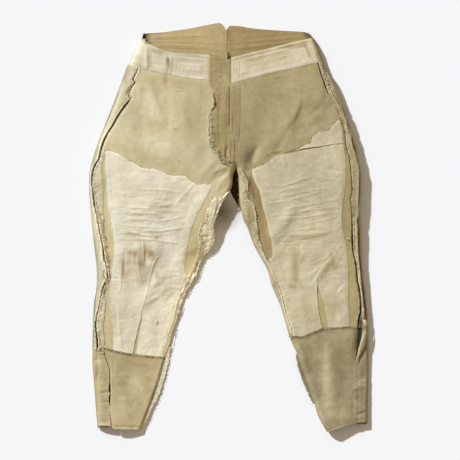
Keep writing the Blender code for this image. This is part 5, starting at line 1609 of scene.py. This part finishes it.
def make_placket(finishes):
    """On the right calf: the facing patch on the lacing edge and the loose twisted flap."""
    x, y, _, _ = patch(shifted(PLACKET["r"], 0.8), shifted(OUTER["r"], -2.4),
                       ragged(PATCH_TOP, 0.5, 111, 8.0), HEM["r"], 1.8)
    rise = 0.3 * noise(x, y, 9, 112) + 0.15 * noise(x, y, 4, 113) + 0.2
    z = top_face("r", x, y, ON_PANEL) + rise + strokes(STRIP_CREASES["r"], x, y)
    shades = tones(x, y, STRIP_WEAR_AND_LIGHT["r"], (), STRIP_SOILED["r"], STRIP_DARK["r"],
                   {"wrinkled": STRIP_WRINKLED})
    add("placket_facing_drill", x, y, z, COTTON_CLOTH, finishes["calf_r"], shades, False,
        "placket_facing_r")
    x, y, u, v = patch(FLAP_LEFT, FLAP_RIGHT, level_line(318.6), level_line(361.2), 1.0)
    twist = step_between(v, 0.12, 0.34)
    curl = (1 - twist) * 3.2 * (1 - u) + twist * (3.4 * np.sin(math.pi * v) * (1 - u) + 0.6)
    curl = curl + twist * 1.6 * np.sin(math.pi * u)
    z = top_face("r", x, y, ON_PANEL) + 0.9 + curl + 0.2 * noise(x, y, 5, 115)
    add("placket_flap_drill", x, y, z, COTTON_CLOTH, finishes["flap"],
        tones(x, y, FLAP_HIGHLIGHT, dark=FLAP_DARK), False, "placket_flap_r")


# Steps between the points of a path that yarn follows, and how high a stitch arches
PATH_STEP = 0.4
ARCH = 0.22


def tube(paths, radius, sides):
    """Places and faces of round threads along paths, each an array of points."""
    places, faces = [], []
    start = 0
    for path in paths:
        count = len(path)
        along = np.gradient(path, axis=0)
        along /= np.maximum(np.linalg.norm(along, axis=1, keepdims=True), 1e-9)
        up = np.where(np.abs(along[:, 2:3]) > 0.9, (1.0, 0.0, 0.0), (0.0, 0.0, 1.0))
        first = np.cross(along, up)
        first /= np.maximum(np.linalg.norm(first, axis=1, keepdims=True), 1e-9)
        second = np.cross(along, first)
        size = radius * np.ones(count)
        size[[0, -1]] *= 0.4
        for k in range(sides):
            a = 2 * math.pi * k / sides
            places.append(path + size[:, None] * (math.cos(a) * first + math.sin(a) * second))
        base = start + np.arange(count - 1)[:, None] + np.zeros((1, sides), dtype=int)
        k = np.arange(sides)[None, :] * count
        n = np.roll(np.arange(sides), -1)[None, :] * count
        faces.append(np.stack([base + k, base + n, base + n + 1, base + k + 1],
                              axis=-1).reshape(-1, 4))
        start += count * sides
    return np.concatenate(places), np.concatenate(faces)


def down(line, span, shift=0.0):
    """A path that follows a lengthwise line between two drawing steps, shifted across."""
    y = (DRAWING_ZERO[1] - np.arange(span[0], span[1], PATH_STEP)) * UNIT
    return np.stack([line(y) + shift, y], axis=-1)


def over(line, span, shift=0.0):
    """A path that follows a crosswise line between two drawing steps, shifted down it."""
    x = (np.arange(span[0], span[1], PATH_STEP) - DRAWING_ZERO[0]) * UNIT
    return np.stack([x, line(x) + shift], axis=-1)


def evenly(path, count):
    """So many points at even distances along a path, and how far along each lies."""
    steps = np.hypot(*np.diff(path, axis=0).T)
    at = np.concatenate([[0], np.cumsum(steps)])
    s = np.linspace(0, at[-1], count)
    return np.stack([np.interp(s, at, path[:, k]) for k in (0, 1)], axis=-1), s


def path_length(path):
    """Length of a path on the table."""
    return float(np.sum(np.hypot(*np.diff(path, axis=0).T)))


def directions(base):
    """The ways along and across a path of points at even distances."""
    along = np.gradient(base, axis=0)
    along /= np.maximum(np.hypot(*along.T)[:, None], 1e-9)
    return along, np.stack([along[:, 1], -along[:, 0]], axis=-1)


def raised(xy, z):
    """A path of points in space from its points on the table and its heights."""
    return np.concatenate([xy, z[:, None]], axis=1)


def coils(side, path, layer, seed, size, pitch, filled):
    """Frayed yarn: uneven coils along a path, broken where it has worn away."""
    base, s = evenly(path, max(12, int(path_length(path) / pitch * 8)))
    along, across = directions(base)
    wander = noise(s, 0 * s, 6.0, seed)
    phase = 2 * math.pi * (s / pitch + 1.3 * wander)
    wide = size * (1 + 0.7 * noise(s, 0 * s, 3.4, seed + 1))
    swing = wide * np.cos(phase) + 0.9 * noise(s, 0 * s, 9.0, seed + 2)
    xy = base + across * swing[:, None] + along * (0.7 * wide * np.sin(phase + wander))[:, None]
    lift = 0.2 + 0.6 * wide * (1 + np.sin(phase))
    points = raised(xy, top_face(side, xy[:, 0], xy[:, 1], layer) + lift)
    kept = noise(s, 0 * s, 11.0, seed + 3) < 2.2 * filled - 1.1
    cuts = np.flatnonzero(np.diff(kept.astype(int))) + 1
    runs = np.split(np.arange(len(s)), cuts)
    return [points[run] for run in runs if kept[run[0]] and len(run) > 6]


def stitches(rows, height, arch, pitch=2.9, length=2.0):
    """Machine stitches along straight lines between drawing steps, arched over a height."""
    paths = []
    for ax, ay, bx, by in rows:
        a, b = place([(ax, ay), (bx, by)])
        reach = float(np.hypot(*(b - a)))
        for k in range(int(reach / pitch)):
            start, end = k * pitch / reach, (k * pitch + length) / reach
            xy = a + (b - a) * np.linspace(start, end, 4)[:, None]
            paths.append(raised(xy, height(xy[:, 0], xy[:, 1]) + np.array([0, arch, arch, 0])))
    return paths


def on_cloth(side, layer):
    """Height of the face of a cloth that lies some layers up, for stitches through it."""
    return lambda x, y: top_face(side, x, y, layer)


def whipping(side, path, layer, seed, wide, pitch):
    """Zigzag hand stitches over a raw edge."""
    base, s = evenly(path, max(6, int(path_length(path) / pitch * 2)))
    _, across = directions(base)
    swing = np.where(np.arange(len(s)) % 2 == 0, 0.5, -0.5) * wide
    swing = swing * (1 + 0.5 * noise(s, 0 * s, 4.0, seed))
    xy = base + across * swing[:, None]
    return [raised(xy, top_face(side, xy[:, 0], xy[:, 1], layer) + 0.35)]


def fringe(side, path, outward, layer, seed, reach, pitch):
    """Loose yarn ends that lean out across an edge."""
    base, _ = evenly(path, max(3, int(path_length(path) / pitch)))
    t = np.linspace(0, 1, 5)
    paths = []
    for k, (foot_x, foot_y) in enumerate(base):
        long = reach * (0.75 + 0.5 * math.sin(7.3 * k + seed) + 0.3 * math.sin(2.9 * k))
        lean = 0.6 * math.sin(4.1 * k + seed)
        x = foot_x + outward[0] * long * t + lean * long * t * t * outward[1]
        y = foot_y + outward[1] * long * t - lean * long * t * t * outward[0]
        z = heights(side, np.array(foot_x), np.array(foot_y))[1] + layer - 0.3 * long * t
        paths.append(np.stack([x, y, np.maximum(z, 0.5)], axis=-1))
    return paths


def loop(side, layer, corners):
    """One loose thread through drawing steps; the third value lifts it."""
    spots = np.array(corners, dtype=float)
    xy = place(spots[:, :2])
    return smooth(raised(xy, top_face(side, xy[:, 0], xy[:, 1], layer) + spots[:, 2]), 5)


def sew(name, paths, radius, finish, sides=3):
    """One object from many threads."""
    places, faces = tube(paths, radius, sides)
    solid(name, places, faces, finish)


def frayed(side):
    """The frayed yarn that runs down one leg."""
    threads = []
    for seed, line, span, size, filled in FRAYED[side]:
        threads += coils(side, down(line, span), ON_LINING, seed, size, 4.8, filled)
    return threads


def make_threads(finishes):
    """Frayed yarn, overcast edges, machine stitches and loose threads."""
    left = frayed("l")
    for seed, shift, start in FLY_COILS:
        left += coils("l", down(FLY_EDGE, (start, 158), shift),
                      ON_LINING + DRILL_CLOTH * 0.6, seed, 2.2, 8.0, 0.75)
    left += coils("l", place(FLY_TUFT), ON_LINING, 57, 2.6, 6.0, 1.0)
    left += coils("l", over(CALF_SEAM["l"], (97, 166), 1.0), ON_LINING, 61, 0.9, 3.8, 0.6)
    sew("frayed_yarn_left", left, 0.55, finishes["yarn_l"])

    right = frayed("r")
    right += coils("r", over(CALF_SEAM["r"], (289, 354), 1.0), ON_LINING, 107, 1.0, 3.8, 0.7)
    right += coils("r", over(LINING_TOP["r"], (250, 296), 0.6), ON_PANEL, 111, 1.0, 4.0, 0.6)
    right += coils("r", over(WEDGE_TOP, (297, 341), 0.4), ON_PANEL, 115, 1.1, 4.0, 0.7)
    sew("frayed_yarn_right", right, 0.38, finishes["yarn_r"])

    cream = coils("l", over(LINING_TOP["l"], (104, 212), 0.4), ON_PANEL, 121, 0.9, 3.8, 0.5)
    cream += whipping("l", down(LINING_OUT["l"], (154, 350), 0.8), ON_PANEL, 3, 1.6, 3.4)
    cream += fringe("l", down(CALF_FRAY["l"][1], (350, 427), -0.8), (0.95, -0.3), 0.6, 1, 3.4, 1.5)
    for side, layer, rows in FACING_STITCHES:
        cream += stitches(rows, on_cloth(side, layer), ARCH)
    sew("cream_threads", cream, 0.3, finishes["thread"])

    pale = []
    for side, first, last in (("l", 106, 164), ("r", 291, 354)):
        path = evenly(over(CALF_SEAM[side], (first, last), -1.6), int((last - first) * 0.8))[0]
        back = path * (1 / UNIT, -1 / UNIT) + DRAWING_ZERO
        rows = [(*back[k], *back[k + 1]) for k in range(len(back) - 1)]
        pale += stitches(rows, on_cloth(side, ON_LINING + 0.2), ARCH, 3.0, 1.9)
    sew("calf_seam_stitches", pale, 0.34, finishes["thread_pale"])

    khaki = []
    for side, layer, rows in DRILL_STITCHES:
        khaki += stitches(rows, on_cloth(side, layer), ARCH)
    sew("khaki_stitches", khaki, 0.24, finishes["thread_dark"])
    seat = stitches(BACK_STITCHES, lambda x, y: 1.1 + back_relief(x, y), 0, 2.9, 2.1)
    sew("back_stitches", seat, 0.26, finishes["thread_pale"])
    sew("loose_threads", [loop(*row) for row in LOOPS], 0.6, finishes["thread"], 6)


# Lines of stitches: side, layer, and rows in drawing steps from x y, to x y
FACING_STITCHES = (
    (
        "l", ON_PANEL + 0.6,
        ((150, 51.6, 172, 55.2), (172, 55.2, 192, 57), (192, 57, 208, 58.2), (131, 62.4, 145, 67.2))),
    (
        "r", ON_PANEL + 0.6,
        ((232, 61, 269, 51.6), (269, 51.6, 309, 41.8), (233.2, 62, 233.4, 81), (239, 61, 239.2, 79))))
DRILL_STITCHES = (
    (
        "l", ON_LINING + 0.4,
        (
            (211.2, 58, 211.2, 79), (221.2, 58, 221.4, 74), (209.6, 80.4, 214, 80.6),
            (214, 80.6, 218, 78.7), (218, 78.7, 220.6, 75.6), (210, 59.6, 230, 60),
            (226.6, 90, 226.8, 134), (217.4, 96, 217.6, 144))),
    ("l", ON_LINING, ((134.6, 70, 130, 84), (130, 84, 125.6, 94), (100.5, 142, 107, 150))),
    (
        "l", 0.1,
        (
            (176, 88, 184, 88.4), (176, 91.4, 184, 91.2), (174, 129.6, 178, 130),
            (113.4, 425.4, 139, 426.4))),
    (
        "r", 0.3,
        (
            (272.6, 71, 280.6, 70), (272.6, 77.6, 280.6, 76.8), (239.6, 88, 239.6, 134),
            (327.4, 429.2, 350.6, 421.6), (304, 346, 330, 338))))
BACK_STITCHES = (
    (147, 40.4, 180, 42), (180, 42, 224, 42.6), (150, 46.4, 200, 49), (200, 49, 224, 50.4),
    (232, 50.4, 270, 45.4), (270, 45.4, 306, 40.4), (216, 52, 226, 52.4), (216, 55, 226, 55.4),
    (215.4, 50, 215.6, 56))
# Frayed yarn down each leg: seed, line, steps down, size of the coils, share that is left
FRAYED = {
    "l": (
        (1, seam_edge("l", "back", 1.4), (204, 350), 1.5, 0.8),
        (9, seam_edge("l", "front", 1.4), (150, 350), 1.4, 0.7),
        (13, seam_edge("l", "front", 5.0), (212, 262), 1.9, 0.8),
        (21, seam_edge("l", "back", 1.0), (92, 101), 1.7, 1.0),
        (25, FRAY_LINE["l"], (196, 332), 1.4, 0.75),
        (29, shifted(FRAY_LINE["l"], 3.6), (222, 300), 1.5, 0.5),
        (33, shifted(INNER["l"], -2.4), (206, 352), 1.2, 0.6)),
    "r": (
        (71, seam_edge("r", "back", 1.4), (74, 124), 1.6, 0.85),
        (79, seam_edge("r", "back", 1.2), (200, 320), 1.3, 0.6),
        (83, shifted(OUTER["r"], -1.6), (104, 126), 1.2, 0.7),
        (87, seam_edge("r", "front", 1.4), (106, 320), 1.4, 0.7),
        (91, seam_edge("r", "front", 4.4), (252, 318), 1.4, 0.5),
        (95, FRAY_LINE["r"], (170, 262), 1.5, 0.6),
        (99, shifted(FRAY_LINE["r"], -3.2), (196, 262), 1.6, 0.5),
        (103, shifted(INNER["r"], 2.0), (300, 338), 1.1, 0.35)),
}
# Frayed yarn beside the fly: seed, way in from its edge, the step down where it starts
FLY_COILS = ((41, 0.8, 93), (45, 6.4, 113), (49, 11.0, 130))
FLY_TUFT = ((218, 156), (222, 160), (224, 163), (228, 163), (231, 161))
# Loose threads: side, layer, and points in drawing steps with their lift
LOOPS = (
    ("l", ON_LINING, ((104.2, 269, 0.6), (102.6, 272, 1.6), (103, 275.6, 1.8), (105, 279, 0.6))),
    ("l", ON_LINING, ((98.6, 352, 0.6), (99.2, 348, 1.8), (100.8, 345.2, 2.4), (103, 345.4, 2.2),
                      (103.6, 348.6, 1.0))),
    ("l", ON_LINING, ((98.8, 352.4, 0.4), (101, 352.6, 0.8), (104.4, 351.6, 0.4))),
    ("l", ON_LINING, ((105, 344.6, 0.6), (106.6, 347, 1.6), (109.6, 348.6, 1.0),
                      (110, 351, 0.4))),
    ("l", ON_LINING, ((128.6, 94, 0.6), (130.6, 96, 1.4), (129.4, 99, 1.4), (132.4, 101, 0.6))),
    ("l", ON_LINING, ((221.4, 160, 0.8), (222.6, 159, 1.6), (224.4, 160.4, 1.6),
                      (224, 162.4, 1.6), (222.2, 162.6, 1.0))),
    ("r", ON_LINING, ((346, 234, 0.6), (348.6, 234.6, 1.6), (349.6, 237, 1.8), (346.4, 239, 1.0),
              (345, 237.6, 0.4))),
    ("r", ON_LINING, ((325.4, 77.6, 0.6), (327.2, 79.4, 1.8), (325.6, 81, 1.4), (327.8, 83, 1.6),
                      (326.6, 85, 0.6))),
    ("r", ON_LINING, ((330, 86.4, 0.6), (332.6, 88, 1.6), (331.4, 90, 1.2), (334.6, 92, 0.6))),
    ("r", ON_LINING, ((289.4, 333, 0.8), (291.6, 334.4, 1.8), (291.4, 337.4, 1.8),
                      (289.6, 338.6, 1.2), (288.6, 336, 0.8))),
)
# The hook's wire in millimetres, from one foot round the bend to the other
HOOK_BEND = (
    (-1.9, -6, 0.2), (-2.4, -3.6, 0.3), (-1.4, -1.4, 0.4), (-1.1, 2, 0.5), (-1.2, 6.4, 0.4),
    (-0.9, 8.2, -0.3), (0, 8.9, -0.8), (0.9, 8.2, -0.3), (1.2, 6.4, 0.4), (1.1, 2, 0.5),
    (1.4, -1.4, 0.4), (2.4, -3.6, 0.3), (1.9, -6, 0.2))


def make_hook(finishes):
    """Bent wire hook at the top of the fly."""
    x, y = place((227.6, 56.6))
    seat = float(top_face("l", np.array(x), np.array(y), ON_LINING)) + 1.2
    path = np.array(HOOK_BEND) + (float(x) + 2.4, float(y), seat)
    places, faces = tube([smooth(path, 6)], 0.9, 8)
    piece = solid("waist_hook_wire", places, faces, finishes["hook"])
    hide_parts("waist_hook")


def smooth(path, parts):
    """A rounder path: a curve through its points with so many parts to a stretch."""
    t = np.arange(len(path), dtype=float)
    fine = np.linspace(0, len(path) - 1, (len(path) - 1) * parts + 1)
    return np.stack([through(t, path[:, k], fine) for k in range(3)], axis=-1)


# Each cloth: name, colour, side whose gold it shows where it is fresh, colour where it is
# worn, threads, angle of the weave, then how far it has faded and the shape of its wrinkles
BACK_WRINKLES = (0.12, 1.0, 1.0)
CLOTHS = {
    "front_l": ("drill_front_l", (195, 181, 139), "l", (214, 203, 169), DRILL_THREADS, 63),
    "front_r": ("drill_front_r", (164, 149, 108), "r", (180, 166, 126), DRILL_THREADS, -63),
    "back_l": ("drill_back_l", (188, 166, 117), "l", (208, 199, 163), DRILL_THREADS, 63,
               0.15, BACK_WRINKLES),
    "back_r": ("drill_back_r", (168, 144, 96), "r", (186, 171, 131), DRILL_THREADS, -63,
               0.4, BACK_WRINKLES),
    "edge_l": ("drill_edge_l", (198, 185, 145), "l", (232, 223, 196), DRILL_THREADS, 63),
    "edge_r": ("drill_edge_r", (163, 148, 110), "r", (198, 186, 152), DRILL_THREADS, -63),
    "flap": ("drill_flap", (176, 156, 116), "r", (222, 210, 178), DRILL_THREADS, -30),
    "inseam_l": ("drill_inseam_l", (222, 211, 174), "l", (242, 234, 208), DRILL_THREADS, 63),
    "fly": ("drill_fly", (160, 141, 98), "r", (184, 167, 126), DRILL_THREADS, 85),
    "calf_l": ("drill_calf_l", (178, 162, 121), "l", (198, 184, 144), DRILL_THREADS, 63),
    "calf_r": ("drill_calf_r", (152, 137, 102), "r", (186, 173, 137), DRILL_THREADS, -63),
    "lining_l": ("cream_lining_l", (226, 216, 188), "l", (234, 228, 207), COTTON_THREADS, 2),
    "lining_r": ("cream_lining_r", (198, 186, 153), "r", (212, 202, 172), COTTON_THREADS, -3),
    "facing_l": ("cream_facing_l", (203, 190, 159), "l", (232, 224, 203), COTTON_THREADS, -4),
    "facing_r": ("cream_facing_r", (208, 193, 160), "r", (222, 210, 182), COTTON_THREADS, 12),
}
# Threads and wire: name, colour, roughness, and how metallic
THREADS_AND_WIRE = {
    "thread": ("linen_thread", (226, 214, 182), 0.8),
    "thread_dark": ("khaki_thread", (146, 128, 84), 0.8),
    "thread_pale": ("seat_thread", (196, 178, 132), 0.8),
    "yarn_l": ("frayed_yarn_pale", (228, 216, 180), 0.85),
    "yarn_r": ("frayed_yarn_khaki", (186, 172, 134), 0.85),
    "hook": ("rusted_wire", (66, 48, 30), 0.55, 0.6),
}


def main():
    finishes = {}
    for key, (name, base, gold, pale, threads, weave, *rest) in CLOTHS.items():
        finishes[key] = cloth(name, colour(*base), GOLD[gold], colour(*pale), threads, weave,
                              *rest)
    for key, (name, base, *rest) in THREADS_AND_WIRE.items():
        finishes[key] = plain(name, colour(*base), *rest)
    make_fronts(finishes)
    make_backs(finishes)
    make_linings(finishes)
    make_facings(finishes)
    make_calves(finishes)
    make_allowances(finishes)
    make_threads(finishes)
    make_hook(finishes)
    make_stage()


# The stage, in metres: half the floor's side, its height, and the painted shadow on the floor in the
# fork
FLOOR = 6.0
FLOOR_HEIGHT = -0.0003
FORK_PLACE = (-0.014, 0.04, 0.0)
FORK_REACH = 0.056
# The sun: where it stands in plan, how high, its tint and its power; the light of the room
SUN_PLAN = math.radians(135)
SUN_RISE = math.radians(30)
SUN_TINT = (0.83, 0.9, 1.0)
SUN_POWER = 4.88
ROOM_LIGHT = (0.356, 0.3, 0.225, 1.0)
# The camera's lens in millimetres and its place
LENS = 162.65
EYE = (0.0039, -0.0034, 5.0)


def link(name, data):
    """A new object in the scene."""
    thing = bpy.data.objects.new(name, data)
    bpy.context.collection.objects.link(thing)
    return thing


def make_stage():
    """The floor with a painted shadow in the fork, the sun, the light of the room and the camera."""
    floor = bpy.data.meshes.new("floor")
    corners = [(-FLOOR, -FLOOR, 0), (FLOOR, -FLOOR, 0), (FLOOR, FLOOR, 0), (-FLOOR, FLOOR, 0)]
    floor.from_pydata(corners, [], [(0, 1, 2, 3)])
    f = Finish("pale_floor")
    pale = f.blend(f.speckle(300, 2.0), colour(246, 246, 247), colour(247, 247, 248))
    # a painted shadow on the floor round the fork
    painted_shadow = f.nearness(FORK_PLACE, FORK_REACH) * 0.85
    f.join(f.surface.inputs["Base Color"], f.blend(painted_shadow, pale, colour(130, 115, 85)))
    f.join(f.surface.inputs["Roughness"], 1.0)
    f.join(f.surface.inputs["Specular IOR Level"], 0.0)
    floor.materials.append(f.material)
    thing = link("floor", floor)
    thing.location.z = FLOOR_HEIGHT

    sun = bpy.data.lights.new("sun", "SUN")
    sun.angle = math.radians(3.0)
    sun.color = SUN_TINT
    sun.energy = SUN_POWER
    link("sun", sun).rotation_euler = (math.pi / 2 - SUN_RISE, 0, SUN_PLAN + math.pi / 2)

    world = bpy.data.worlds.new("room")
    world.use_nodes = True
    world.node_tree.nodes["Background"].inputs[0].default_value = ROOM_LIGHT
    bpy.context.scene.world = world
    bpy.context.scene.view_settings.view_transform = "Standard"

    camera = bpy.data.cameras.new("camera")
    camera.lens = LENS
    camera.sensor_width = 36.0
    camera.clip_end = 50.0
    eye = link("camera", camera)
    eye.location = EYE
    bpy.context.scene.camera = eye


main()
